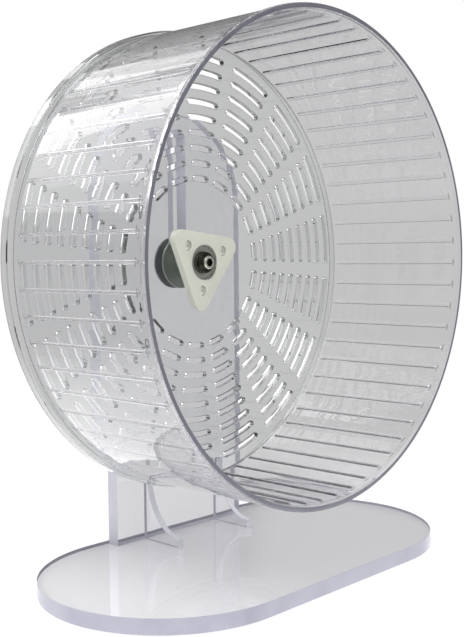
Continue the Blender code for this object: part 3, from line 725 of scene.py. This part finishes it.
VENTS = {
    "Ring Count": 9, "Column Count": 18, "First Radius": 0.0491, "Ring Pitch": 0.0088375,
    "Slot Width": 0.0034, "Spoke Width": 0.0029, "Spoke Turn": math.radians(3.2),
    "Wheel Turn": math.radians(-3.0), "Outside Radius": PLATE_RADIUS, "Hub Radius": 0.0134,
    "Screw Radius": SCREW_HOLE, "Screw Circle": SCREW_CIRCLE,
    "Screw Turn": CAP_TURN, "Thickness": DISC_BACK - DISC_FRONT, "Back": DISC_BACK,
    "Axle Height": AXLE_HEIGHT,
}


def build_vent_tree():
    """The disc: a round sheet with rings of arc slots, a hole for the hub and three screw holes."""
    tree, kit, given = new_geometry_tree("vented_disc", VENTS)

    def joined(*parts):
        node = kit.add("GeometryNodeJoinGeometry")
        for part in parts:
            kit.feed(node.inputs[0], part)
        return Value(kit, node.outputs[0])

    def circle(steps, **size):
        return kit.geometry("CurvePrimitiveCircle", Resolution=steps, **size)

    many = {"Geometry": circle(VENT_STEPS), "Amount": given["Ring Count"] * given["Column Count"]}
    copies = kit.first("GeometryNodeDuplicateElements", many, domain="SPLINE")
    index = kit.geometry("InputIndex")
    slot_index = kit.math("FLOOR", (index + 0.5) / float(VENT_STEPS))
    step = index - slot_index * float(VENT_STEPS)
    ring = kit.math("FLOOR", (slot_index + 0.5) / given["Column Count"])
    column = slot_index - ring * given["Column Count"]
    radius = ring * given["Ring Pitch"] + given["First Radius"]
    half_column = math.pi / given["Column Count"]
    middle = (column * 2.0 + 1.0) * half_column + given["Wheel Turn"]
    half_slot = given["Slot Width"] * 0.5
    spoke = radius * given["Spoke Turn"] + given["Spoke Width"]
    reach = (half_column - (spoke * 0.5 + half_slot) / radius) * radius
    # Once round the slot is four parts: outer side, one end, inner side, other end
    part = step * (4.0 / VENT_STEPS)
    out_side = 1.0 - kit.math("MINIMUM", part, 1.0) * 2.0
    home_side = kit.math("SUBTRACT", part, 2.0, clamp=True) * 2.0
    first_end = kit.math("SUBTRACT", part, 1.0, clamp=True)
    last_end = kit.math("SUBTRACT", part, 3.0, clamp=True)
    facing = (first_end + last_end + 0.5) * math.pi
    along = kit.math("COSINE", facing) * half_slot + (out_side + home_side) * reach
    across = kit.math("SINE", facing) * half_slot
    slot_x, slot_y = kit.polar(radius + across, middle + along / radius)
    slots = kit.geometry("SetPosition", Geometry=copies, Position=kit.vector(X=slot_x, Y=slot_y))
    outside = circle(PLATE_STEPS, Radius=given["Outside Radius"])
    hub = circle(TURNED_STEPS, Radius=given["Hub Radius"])
    screw = circle(HOLE_STEPS, Radius=given["Screw Radius"])
    three = kit.geometry("Points", Count=3)
    screw_turn = kit.geometry("InputIndex") * (FULL_TURN / 3) + given["Screw Turn"]
    screw_x, screw_y = kit.polar(given["Screw Circle"], screw_turn)
    placed = kit.geometry("SetPosition", Geometry=three, Position=kit.vector(X=screw_x, Y=screw_y))
    holes = kit.geometry("InstanceOnPoints", Points=placed, Instance=screw)
    outlines = joined(slots, outside, hub, kit.geometry("RealizeInstances", Geometry=holes))
    sheet = kit.geometry("FillCurve", Curve=outlines)
    raised = kit.geometry("ExtrudeMesh", Mesh=sheet, Offset_Scale=given["Thickness"], Individual=False)
    body = joined(raised, kit.geometry("FlipFaces", Mesh=sheet))
    merged = kit.geometry("MergeByDistance", Geometry=body, Distance=MERGE_DISTANCE)
    to_place = kit.vector(Y=given["Back"], Z=given["Axle Height"])
    upright = (QUARTER_TURN, 0, 0)
    stood = kit.geometry("Transform", Geometry=merged, Translation=to_place, Rotation=upright)
    close_geometry_tree(kit, given, stood)
    return tree


RING = {"Count": 3, "Circle Radius": SCREW_CIRCLE, "First Turn": CAP_TURN, "Axle Height": AXLE_HEIGHT}
BALL_RING = {**RING, "Count": BALL_COUNT, "Circle Radius": BALL_CIRCLE, "First Turn": 0.0}


def build_ring_tree():
    """Copies of one small piece, evenly round the axle, each turned to face out."""
    tree, kit, given = new_geometry_tree("ring_of_copies", RING)
    points = kit.geometry("Points", Count=given["Count"])
    turn = kit.geometry("InputIndex") * (FULL_TURN / given["Count"]) + given["First Turn"]
    across, up = kit.polar(given["Circle Radius"], turn)
    at = kit.vector(X=across, Z=up + given["Axle Height"])
    placed = kit.geometry("SetPosition", Geometry=points, Position=at)
    spin = kit.vector(Y=turn * -1.0)
    copies = kit.geometry("InstanceOnPoints", Points=placed, Instance=given["Geometry"], Rotation=spin)
    close_geometry_tree(kit, given, copies)
    return tree


RIB_TREE = build_rib_tree()
VENT_TREE = build_vent_tree()
RING_TREE = build_ring_tree()


def ring_of(name, mesh, material, settings=RING):
    """The small piece is made on the axle line at the origin's height and copied round the axle."""
    return show(name, grown(name, RING_TREE, mesh, settings, material), material)


# Stand
def build_base():
    reach = BASE_LENGTH / 2 - BASE_WIDTH / 2
    right = arc_points((reach, 0), BASE_WIDTH / 2, -QUARTER_TURN, QUARTER_TURN, ARCH_STEPS)
    left = arc_points((-reach, 0), BASE_WIDTH / 2, QUARTER_TURN, 3 * QUARTER_TURN, ARCH_STEPS)
    lift = Matrix.Translation((0, 0, BASE_THICKNESS / 2))
    base = sheet_piece("base_sheet", CLEAR_SHEET, [right + left], BASE_THICKNESS, lift)
    # Painted shade: the base's edges take the darker copy of the edge finish.
    finish_faces(base, BASE_EDGE_PAINTED_SHADE, lambda middle, normal: abs(normal.z) < 0.5)
    soften_edges(base, SHEET_EDGE)
    seat(base, "stand", "clear_acrylic_sheet", "base_plate")


def build_upright():
    half = UPRIGHT_WIDTH / 2
    arch = arc_points((0, UPRIGHT_TOP - half), half, 0, math.pi, ARCH_STEPS)
    outline = [(-half, UPRIGHT_FOOT), (half, UPRIGHT_FOOT)] + arch
    top_end = arc_points((0, SLOT_TOP - SLOT_RADIUS), SLOT_RADIUS, 0, math.pi, FILLET_STEPS * 6)
    low_end = arc_points((0, AXLE_HEIGHT), SLOT_RADIUS, math.pi, FULL_TURN, FILLET_STEPS * 6)
    outlines, thickness = [outline, top_end + low_end], UPRIGHT_BACK - UPRIGHT_FRONT
    place = standing((UPRIGHT_FRONT + UPRIGHT_BACK) / 2)
    upright = sheet_piece("upright_sheet", CLEAR_SHEET, outlines, thickness, place)
    finish_faces(upright, SAWN_EDGE, lambda middle, normal: abs(normal.y) < 0.5)
    soften_edges(upright, SHEET_EDGE)
    seat(upright, "stand", "clear_acrylic_sheet", "upright")


def build_gusset(side, node):
    across, rise = GUSSET_DEPTH - GUSSET_TOP, GUSSET_RISE - GUSSET_TIP
    turns = [QUARTER_TURN * step / GUSSET_STEPS for step in range(GUSSET_STEPS + 1)]
    hollow = [(GUSSET_DEPTH - across * math.sin(turn), GUSSET_RISE - rise * math.cos(turn)) for turn in turns]
    outline = [(0, 0), (GUSSET_DEPTH, 0)] + hollow + [(0, GUSSET_RISE)]
    turned = Matrix.Rotation(-QUARTER_TURN, 4, "Z") @ Matrix.Rotation(QUARTER_TURN, 4, "X")
    place = Matrix.Translation((side * GUSSET_REACH, GUSSET_BACK, UPRIGHT_FOOT)) @ turned
    gusset = sheet_piece(f"{node}_sheet", CLEAR_SHEET, [outline], GUSSET_THICKNESS, place)
    finish_faces(gusset, SAWN_EDGE, lambda middle, normal: normal.y > 0.5)
    # Painted light on the gusset's hollow, clear edge: a near-white finish.
    finish_faces(gusset, POLISHED_EDGE_PAINTED_LIGHT, lambda middle, normal: normal.y < -0.02 and abs(normal.x) < 0.5)
    soften_edges(gusset, SHEET_EDGE / 2)
    seat(gusset, "stand", "clear_acrylic_sheet", node)


# Wheel
def drum_turns():
    """Angles round the drum, closer together at the sides of each rib."""
    pitch = FULL_TURN / RIB_COUNT
    half = RIB_WIDTH / 2 / WALL_INSIDE
    shares = (-1.0, -0.93, -0.78, -0.52, 0.0, 0.52, 0.78, 0.93, 1.0)
    offsets = [share * half for share in shares]
    gap, gap_steps = pitch - 2 * half, 5
    offsets += [half + gap * step / gap_steps for step in range(1, gap_steps)]
    return [RIB_TURN + pitch * rib + offset for rib in range(RIB_COUNT) for offset in offsets]


def build_drum():
    bead = WALL_OUTSIDE + RIM_BEAD
    outline = filleted([
        (WALL_INSIDE, RIM_FRONT, RIM_ROUNDINGS[0]),
        (bead, RIM_FRONT, RIM_ROUNDINGS[1]),
        (bead, RIM_FRONT + RIM_BEAD_WIDTH - RIM_BEAD, BROAD),
        (WALL_OUTSIDE, RIM_FRONT + RIM_BEAD_WIDTH, 0.0005),
        (WALL_OUTSIDE, WALL_BACK, SOFT),
        (WALL_INSIDE, WALL_BACK, SOFT),
    ])
    half = RIB_WIDTH / 2
    end_shares = (0.0, 0.07, 0.22, 0.48, 0.75, 1.0)
    back_end = [RIB_BACK - half * share for share in end_shares]
    front_end = [RIB_FRONT + half * share for share in reversed(end_shares)]
    length, length_steps = RIB_BACK - RIB_FRONT - 2 * half, 8
    between = [RIB_BACK - half - length * step / length_steps for step in range(1, length_steps)]
    inside = [(WALL_INSIDE, along) for along in back_end + between + front_end]
    shell = lathe_mesh("drum_wall", outline + inside, drum_turns())
    drum = show("drum_wall", grown("drum_wall", RIB_TREE, shell, RIBS, CLEAR_DRUM), CLEAR_DRUM)
    front = RIM_FRONT + RIM_BEAD
    # Painted shade: the rim's front face takes the dark finish.
    finish_faces(drum, RIM_PAINTED_SHADE, lambda middle, normal: middle.y < front and normal.y < -0.88)
    seat(drum, "wheel", "clear_drum", "running_wall")


def edge_on(mesh, rim, radius):
    """Join a turned rim onto a disc at a radius, where both have the same points, as one closed body."""
    shape = bmesh.new()
    shape.from_mesh(mesh)
    shape.from_mesh(rim)
    bmesh.ops.remove_doubles(shape, verts=shape.verts, dist=SEAM_DISTANCE)

    def on_seam(vert):
        return abs(math.hypot(vert.co.x, vert.co.z - AXLE_HEIGHT) - radius) < SEAM_DISTANCE

    inner = [face for face in shape.faces if abs(face.normal.y) < 0.5 and all(map(on_seam, face.verts))]
    bmesh.ops.delete(shape, geom=inner, context="FACES")
    close_shape(shape, mesh)


def build_disc():
    mesh = grown("vented_disc", VENT_TREE, bpy.data.meshes.new("vented_disc"), VENTS, CLEAR_DISC)
    rim = filleted([
        (PLATE_RADIUS, DISC_FRONT, 0),
        ((LIP_INSIDE + LIP_RADIUS) / 2, DISC_FRONT, FINE),
        (LIP_RADIUS, LIP_FRONT + FINE, SOFT),
        (LIP_RADIUS, LIP_BACK, BROAD),
        (LIP_INSIDE, LIP_BACK, BROAD),
        (LIP_INSIDE, DISC_BACK, BROAD),
        (PLATE_RADIUS, DISC_BACK, 0),
    ])
    edge_on(mesh, lathe_mesh("rim", rim, even_turns(PLATE_STEPS)), PLATE_RADIUS)
    disc = show("vented_disc", mesh, CLEAR_DISC)
    soften_edges(disc, SOFT)
    seat(disc, "wheel", "clear_disc", "back_disc")


def build_hub_cap():
    angles = [CAP_TURN + FULL_TURN * index / 3 for index in range(3)]
    outline = []
    for turn in angles:
        centre = polar(CAP_REACH - CAP_CORNER, turn)
        outline += arc_points(centre, CAP_CORNER, turn - math.pi / 3, turn + math.pi / 3, FILLET_STEPS * 4)
    place = Matrix.Translation((0, 0, AXLE_HEIGHT)) @ standing((CAP_FRONT + CAP_BACK) / 2)
    cap = sheet_piece("hub_cap_moulding", MILKY_PLASTIC, [outline], CAP_BACK - CAP_FRONT, place)
    add_bevel(cap, CAP_EDGE, 4, 60)
    cut(cap, plug_mesh(CAP_COLLAR, CAP_BACK - OVERCUT, COLLAR_BACK), "UNION")
    cut(cap, plug_mesh(CAP_POCKET, CAP_LIP_BACK, COLLAR_BACK + OVERCUT))
    opening = [
        (0, CAP_LIP_BACK + OVERCUT), (CAP_OPENING, CAP_LIP_BACK + OVERCUT), (CAP_OPENING, CAP_FRONT + SOFT),
        (CAP_OPENING + HAIR, CAP_FRONT + HAIR), (CAP_OPENING + BROAD, CAP_FRONT - HAIR / 2),
        (0, CAP_FRONT - OVERCUT),
    ]
    cut(cap, lathe_mesh("opening", opening, even_turns(TURNED_STEPS)))
    for turn in angles:
        place = polar(SCREW_CIRCLE, turn)
        cut(cap, plug_mesh(RECESS_RADIUS, CAP_FRONT - OVERCUT, RECESS_BACK, place, SMALL_STEPS))
        cut(cap, plug_mesh(SCREW_HOLE, CAP_FRONT, CAP_BACK + OVERCUT, place, HOLE_STEPS))
    dress(cap, MILKY_PLASTIC)
    seat(cap, "wheel", "milky_plastic", "hub_cap")


def cross_recess():
    """A plus-shaped driver recess, tapering in, as a cutting tool for the screw's head."""
    corners = []
    for quarter in range(4):
        cosine, sine = math.cos(quarter * QUARTER_TURN), math.sin(quarter * QUARTER_TURN)
        for across, up in ((CROSS_REACH, -CROSS_HALF), (CROSS_REACH, CROSS_HALF), (CROSS_HALF, CROSS_HALF)):
            corners.append((across * cosine - up * sine, across * sine + up * cosine))
    mesh = sheet_mesh("cross", [corners], 2 * CROSS_DEPTH, standing(SCREW_HEAD_FRONT))
    for vertex in mesh.vertices:
        if vertex.co.y > SCREW_HEAD_FRONT:
            vertex.co.x *= CROSS_TAPER
            vertex.co.z *= CROSS_TAPER
    return lifted(mesh, AXLE_HEIGHT)


def build_cap_screws():
    """One screw is turned, with a shallow thread and a cross recess, and copied into the three corners."""
    rise = SCREW_HEAD_BACK - SCREW_HEAD_FRONT - HEAD_RIM
    dome = [
        (SCREW_HEAD * math.cos(turn), SCREW_HEAD_BACK - HEAD_RIM - rise * math.sin(turn))
        for turn in (QUARTER_TURN * step / 8 for step in range(8))
    ]
    profile = [(0, SCREW_TIP), (SCREW_RADIUS - SOFT, SCREW_TIP), (SCREW_RADIUS, SCREW_TIP - SOFT)]
    along = SCREW_TIP - SOFT - THREAD_PITCH
    while along > RECESS_BACK + THREAD_PITCH:
        profile += [(SCREW_RADIUS - THREAD_DEPTH, along + THREAD_PITCH / 2), (SCREW_RADIUS, along)]
        along -= THREAD_PITCH
    profile += [(SCREW_RADIUS, SCREW_HEAD_BACK), (SCREW_HEAD - HAIR, SCREW_HEAD_BACK)]
    profile += [(SCREW_HEAD, SCREW_HEAD_BACK - HAIR)] + dome + [(0, SCREW_HEAD_FRONT)]
    screw = show("cap_screw", lathe_mesh("cap_screw", profile, even_turns(SMALL_STEPS)), ZINC_STEEL)
    cut(screw, cross_recess())
    mesh = lifted(taken_mesh(screw), -AXLE_HEIGHT)
    screws = ring_of("cap_screws", mesh, ZINC_STEEL)
    seat(screws, "wheel", "zinc_steel", "cap_screw_1", "cap_screw_2", "cap_screw_3")


def nut_mesh(name, flats, front, back, bore):
    """A hexagon nut: prism, corners turned off at both faces, bored through with a lead-in."""
    corner = flats / 2 / math.cos(math.pi / 6)
    prism = lathe_mesh(name, [(0, back), (corner, back), (corner, front), (0, front)], even_turns(6))
    nut = show(name, prism, ZINC_STEEL)
    face = NUT_FACE_SHARE * flats / 2
    slope = math.tan(math.radians(30))
    drop = (corner - face) * slope
    wide, past = corner + OVERCUT / 2, OVERCUT / 2 * slope
    turning = [
        (0, back), (face, back), (corner, back - drop), (wide, back - drop - past),
        (wide, front + drop + past), (corner, front + drop), (face, front), (0, front),
    ]
    cut(nut, lathe_mesh("turning", turning, even_turns(72)), "INTERSECT")
    mouth = bore + NUT_LEAD + OVERCUT
    boring = [
        (0, back + OVERCUT), (mouth, back + OVERCUT), (bore, back - NUT_LEAD),
        (bore, front + NUT_LEAD), (mouth, front - OVERCUT), (0, front - OVERCUT),
    ]
    cut(nut, lathe_mesh("boring", boring, even_turns(48)))
    return taken_mesh(nut)


def build_cap_nuts():
    mesh = lifted(nut_mesh("cap_nut", *SMALL_NUT, SCREW_RADIUS + HAIR), -AXLE_HEIGHT)
    nuts = ring_of("cap_nuts", mesh, ZINC_STEEL)
    seat(nuts, "wheel", "zinc_steel", "cap_nut_1", "cap_nut_2", "cap_nut_3")


# Ball bearing
def ball_track(side):
    radius, limit = TRACK_RADIUS, math.acos(TRACK_OPENING / TRACK_RADIUS)
    return [
        (BALL_CIRCLE + side * radius * math.cos(turn), BEARING_MIDDLE + radius * math.sin(turn), 0)
        for turn in (limit * (step / 6 - 1) for step in range(13))
    ]


def build_bearing():
    inner = [
        (BEARING_BORE, BEARING_FRONT, SOFT), (BEARING_BORE, BEARING_BACK, SOFT),
        (INNER_SHOULDER, BEARING_BACK, HAIR), *ball_track(-1)[::-1], (INNER_SHOULDER, BEARING_FRONT, HAIR),
    ]
    ring = turned_piece("bearing_inner_ring_turned", inner, BEARING_STEEL)
    seat(ring, "carriage", "bearing_steel", "bearing_inner_ring")
    outer = [
        (SHIELD_SEAT, BEARING_FRONT, HAIR), (SHIELD_SEAT, BEARING_FRONT + SHIELD_DEPTH, 0),
        (OUTER_SHOULDER, BEARING_FRONT + SHIELD_DEPTH, 0), *ball_track(1),
        (OUTER_SHOULDER, BEARING_BACK - SHIELD_DEPTH, 0), (SHIELD_SEAT, BEARING_BACK - SHIELD_DEPTH, 0),
        (SHIELD_SEAT, BEARING_BACK, HAIR), (BEARING_OUTSIDE, BEARING_BACK, SOFT),
        (BEARING_OUTSIDE, BEARING_FRONT, SOFT),
    ]
    ring = turned_piece("bearing_outer_ring_turned", outer, BEARING_STEEL)
    seat(ring, "wheel", "bearing_steel", "bearing_outer_ring")
    inside, outside = INNER_SHOULDER + SOFT, SHIELD_SEAT - HAIR
    rear = BEARING_BACK - SHIELD_SUNK - SHIELD_THICKNESS
    for node, front in (("front_shield", BEARING_FRONT + SHIELD_SUNK), ("rear_shield", rear)):
        corners = tube_corners(inside, outside, front, front + SHIELD_THICKNESS, (HAIR,) * 4)
        seat(turned_piece(f"{node}_pressed", corners, SHIELD_STEEL), "wheel", "shield_steel", node)


def build_balls():
    turns = [math.pi * step / 14 for step in range(1, 14)]
    sides = [(BALL_RADIUS * math.sin(turn), -BALL_RADIUS * math.cos(turn)) for turn in turns]
    ball = lathe_mesh("ball", [(0, -BALL_RADIUS)] + sides + [(0, BALL_RADIUS)], even_turns(28))
    ball.transform(Matrix.Translation((0, BEARING_MIDDLE, -AXLE_HEIGHT)))
    balls = ring_of("ball_row", ball, POLISHED_STEEL, BALL_RING)
    nodes = [f"bearing_ball_{index}" for index in range(1, BALL_COUNT + 1)]
    seat(balls, "ball_cage", "polished_steel", *nodes)


# Axle and what clamps it
def build_axle():
    shoulder = AXLE_RADIUS - AXLE_CHAMFER
    corners = [
        (0, AXLE_BACK, 0), (shoulder, AXLE_BACK, HAIR), (AXLE_RADIUS, AXLE_BACK - AXLE_CHAMFER, HAIR),
        (AXLE_RADIUS, AXLE_FRONT + AXLE_CHAMFER, FINE), (shoulder, AXLE_FRONT, FINE), (0, AXLE_FRONT, 0),
    ]
    axle = turned_piece("axle_bolt", corners, AXLE_STEEL)
    corner = SOCKET_FLATS / 2 / math.cos(math.pi / 6)
    mouth = AXLE_FRONT - OVERCUT
    socket = [(0, SOCKET_BACK), (corner, SOCKET_BACK - SOCKET_POINT), (corner, mouth), (0, mouth)]
    cut(axle, lathe_mesh("socket", socket, even_turns(6)))

    # Painted shade: the hex socket's faces take the black steel, so the recess looks dark.
    def in_painted_shade_socket(middle, normal):
        away = math.hypot(middle.x, middle.z - AXLE_HEIGHT)
        return AXLE_FRONT + SEAM_DISTANCE < middle.y < SOCKET_BACK + SEAM_DISTANCE and away < corner

    finish_faces(axle, BLACK_STEEL_AND_SHADE, in_painted_shade_socket)
    smooth(axle)
    seat(axle, "carriage", "dark_steel", "axle")


def build_axle_rings():
    """The round nut, spacer, clamp disc and washer, bored a little wider than the axle."""
    bore = BEARING_BORE
    retainer = [
        (bore, RETAINER_FRONT, FINE), (bore, RETAINER_BACK, FINE), (RETAINER_RADIUS, RETAINER_BACK, FINE),
        (RETAINER_RADIUS, RETAINER_FRONT + AXLE_CHAMFER, FINE),
        (RETAINER_RADIUS - AXLE_CHAMFER, RETAINER_FRONT, FINE),
    ]
    seat(turned_piece("retainer_turned", retainer, BLACK_STEEL_AND_SHADE), "carriage", "dark_steel", "retaining_nut")
    spacer = tube_corners(bore, SPACER_RADIUS, SPACER_FRONT, SPACER_BACK, (FINE, FINE, SOFT, SOFT))
    seat(turned_piece("spacer_turned", spacer, ZINC_STEEL), "carriage", "zinc_steel", "axle_spacer")
    clamp = [
        (bore, CLAMP_FRONT, FINE), (bore, GUIDE_BACK, FINE), (GUIDE_RADIUS, GUIDE_BACK, SOFT),
        (GUIDE_RADIUS, CLAMP_BACK, HAIR), (CLAMP_RADIUS, CLAMP_BACK, SOFT),
        (CLAMP_RADIUS, FLANGE_FRONT, BROAD), (SPACER_RADIUS, FLANGE_FRONT, BROAD),
        (SPACER_RADIUS, CLAMP_FRONT, SOFT),
    ]
    disc = turned_piece("clamp_disc_turned", clamp, CLAMP_STEEL, FLANGE_STEPS)
    seat(disc, "carriage", "polished_steel", "clamp_disc")
    washer = tube_corners(*WASHER, (HAIR, HAIR, SOFT, HAIR))
    seat(turned_piece("washer_punched", washer, WASHER_STEEL), "carriage", "zinc_steel", "rear_washer")


def build_clamp_nut():
    name = "clamp_nut_hexagon"
    nut = show(name, nut_mesh(name, *CLAMP_NUT, AXLE_RADIUS + HAIR), ZINC_STEEL)
    seat(nut, "nut", "zinc_steel", "clamp_nut")


def finish_kept_nodes():
    """The bearing's cage keeps its frame shape and gets the shield steel."""
    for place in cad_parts["bearing_cage"].material_slots:
        place.material = SHIELD_STEEL


build_base()
build_upright()
build_gusset(-1, "gusset_left")
build_gusset(1, "gusset_right")
build_drum()
build_disc()
build_hub_cap()
build_cap_screws()
build_cap_nuts()
build_bearing()
build_balls()
build_axle()
build_axle_rings()
build_clamp_nut()
finish_kept_nodes()


# Studio: each light level is given four times, as the camera sees it, as gloss reflects it, as it shows
# through plastic and as it scatters, because the photo was cut out onto white
FLOOR_SIZE = 6.0
FLOOR_DROP = 0.0003
FLOOR_COLOUR = (0.60, 0.60, 0.50, 0.62)
FLOOR_SEEN, FLOOR_REFLECTED, FLOOR_SCATTERED = 0.62, 1.2, 0.35
# Through plastic, the floor glows brighter towards the left: a painted pool of light.
FLOOR_THROUGH_LEFT, FLOOR_THROUGH_RIGHT = 0.74, 0.37
BACKDROP_FROM, BACKDROP_TO = 0.19, 0.42
BACKDROP_GLOW = (1.0, 0.36, 0.58, 0.95)
ROOM_LIGHT = 0.38
WHITE, SCATTERED = 1.0, 1.10
LAMP_SIZE, LAMP_POWER = 0.9, 9.0
LAMP_PLACE, LAMP_AIM = Vector((-0.9, -0.5, 1.5)), Vector((0, 0, 0.1))

# What gloss sees round the room: azimuth, half width and fade in degrees, sine of the height from and to,
# its fade, and strength; a strength below nought is a dark flag
SOFT_BOXES = (
    (108.0, 20.0, 2.5, 0.25, 0.80, 0.03, 1.3),
    (94.0, 5.0, 1.5, 0.30, 0.80, 0.02, 1.9),
    (71.0, 4.0, 1.5, 0.45, 0.80, 0.02, 1.2),
    (56.0, 12.0, 3.0, 0.25, 0.62, 0.04, -0.2),
    (268.0, 28.0, 12.0, -0.6, 0.97, 0.1, 0.35),
)
# Plastic shows the room a little darker, but for a paler wall low in it: how much that adds, its heights
# and their fade, and the part of it that lies where the camera looks
THROUGH_LOSS, WALL_LIGHT = 0.10, 0.30
WALL_HEIGHTS = (-1.0, 0.31, 0.08)
WALL_AHEAD, WALL_AHEAD_SHARE = (43.0, 28.0, 12.0), 0.3


def by_path(kit, seen, reflected, through, scattered):
    """A light level by the kind of ray that meets it."""
    path = kit.named("ShaderNodeLightPath")
    value = scattered
    for kind, level in (("Reflection", reflected), ("Transmission", through), ("Camera", seen)):
        value = path[f"Is {kind} Ray"] * (level - value) + value
    return value


def build_floor():
    """A pale floor that runs out into the white backdrop."""
    mesh = bpy.data.meshes.new("studio_floor")
    signs = ((-1, -1), (1, -1), (1, 1), (-1, 1))
    mesh.from_pydata([(FLOOR_SIZE * x, FLOOR_SIZE * y, -FLOOR_DROP) for x, y in signs], [], [(0, 1, 2, 3)])
    floor = new_object("studio_floor", mesh)
    material, kit, shader = new_material("studio_floor")
    near = by_path(kit, *FLOOR_COLOUR)
    place = kit.place()
    leftward = kit.named("ShaderNodeSeparateXYZ", {"Vector": place})["X"]
    # Painted pool of light: the floor is brighter at the left for rays through plastic.
    through = kit.smooth_step(leftward, -0.14, 0.0, FLOOR_THROUGH_LEFT, FLOOR_THROUGH_RIGHT)
    kit.fill(shader, {
        "Base Color": kit.vector(X=near, Y=near, Z=near), "Roughness": 0.8, "Specular IOR Level": 0.0,
        "Emission Color": opaque((1.0, 1.0, 1.0)),
        "Emission Strength": by_path(kit, FLOOR_SEEN, FLOOR_REFLECTED, through, FLOOR_SCATTERED),
    })
    away = kit.named("ShaderNodeVectorMath", {0: place}, operation="LENGTH")["Value"]
    glow = kit.first("ShaderNodeEmission", {"Strength": by_path(kit, *BACKDROP_GLOW)})
    kit.mix_at_output(kit.smooth_step(away, BACKDROP_FROM, BACKDROP_TO), shader, glow)
    mesh.materials.append(material)


def build_world():
    """A white backdrop for what the camera sees, and a studio of soft boxes for what gloss reflects."""
    world = bpy.data.worlds.new("studio")
    bpy.context.scene.world = world
    world.use_nodes = True
    world.cycles.sampling_method = "NONE"
    kit = NodeKit(world.node_tree)
    x, y, up = kit.split(kit.named("ShaderNodeTexCoord")["Generated"])
    level = kit.math("MAXIMUM", kit.distance(x, y), 0.001)

    def towards(azimuth, half_width, soft):
        """1 within half_width degrees of an azimuth (0 is +X, 90 is +Y), fading out over soft degrees."""
        across, along = polar(1.0, math.radians(azimuth))
        low, high = math.cos(math.radians(half_width + soft)), math.cos(math.radians(half_width))
        return kit.smooth_step((x * across + y * along) / level, low, high)

    def between(low, high, soft):
        """1 between two heights, fading out past them."""
        return kit.smooth_step(up, low - soft, low) * kit.smooth_step(up, high, high + soft, 1.0, 0.0)

    lit = ROOM_LIGHT
    for azimuth, half_width, soft, low, high, fade, strength in SOFT_BOXES:
        lit = towards(azimuth, half_width, soft) * between(low, high, fade) * strength + lit
    wall = (towards(*WALL_AHEAD) * WALL_AHEAD_SHARE + (1 - WALL_AHEAD_SHARE)) * between(*WALL_HEIGHTS)
    value = by_path(kit, WHITE, lit, wall * WALL_LIGHT + (lit - THROUGH_LOSS), SCATTERED)
    background = world.node_tree.nodes.get("Background") or kit.add("ShaderNodeBackground")
    kit.fill(background, {"Color": kit.vector(X=value, Y=value, Z=value), "Strength": 1.0})


def build_lamp():
    light = bpy.data.lights.new("soft_box", "AREA")
    light.shape = "RECTANGLE"
    light.size = LAMP_SIZE
    light.size_y = LAMP_SIZE
    light.energy = LAMP_POWER
    lamp = new_object("soft_box", light)
    lamp.location = LAMP_PLACE
    lamp.rotation_euler = (LAMP_AIM - LAMP_PLACE).to_track_quat("-Z", "Y").to_euler()


def build_camera():
    """The photograph's viewpoint: a long lens, a little above the axle, from the front left."""
    azimuth, elevation, roll = math.radians(-46.66), math.radians(4.59), math.radians(-0.50)
    aim, distance = Vector((-0.07339, -0.061, 0.13677)), 0.46858
    focal_pixels, picture_height, sensor = 996.34, 637, 36.0
    across, along = polar(math.cos(elevation), azimuth - QUARTER_TURN)
    back = Vector((across, along, math.sin(elevation)))
    level_right = Vector((*polar(1.0, azimuth), 0))
    level_up = back.cross(level_right)
    right = level_right * math.cos(roll) + level_up * math.sin(roll)
    up = level_up * math.cos(roll) - level_right * math.sin(roll)
    data = bpy.data.cameras.new("photo_camera")
    data.sensor_fit = "AUTO"
    data.sensor_width = sensor
    data.lens = focal_pixels * sensor / picture_height
    data.shift_x, data.shift_y = -0.0070, 0.0284
    data.clip_start, data.clip_end = 0.01, 20.0
    camera = new_object("photo_camera", data)
    turn = Matrix((right, up, back)).transposed().to_4x4()
    camera.matrix_world = Matrix.Translation(aim + back * distance) @ turn
    bpy.context.scene.camera = camera


build_floor()
build_world()
build_lamp()
build_camera()

scene = bpy.context.scene
scene.view_settings.view_transform = "Standard"
scene.cycles.max_bounces = 32
scene.cycles.transmission_bounces = 32
scene.cycles.glossy_bounces = 16
scene.cycles.transparent_max_bounces = 32
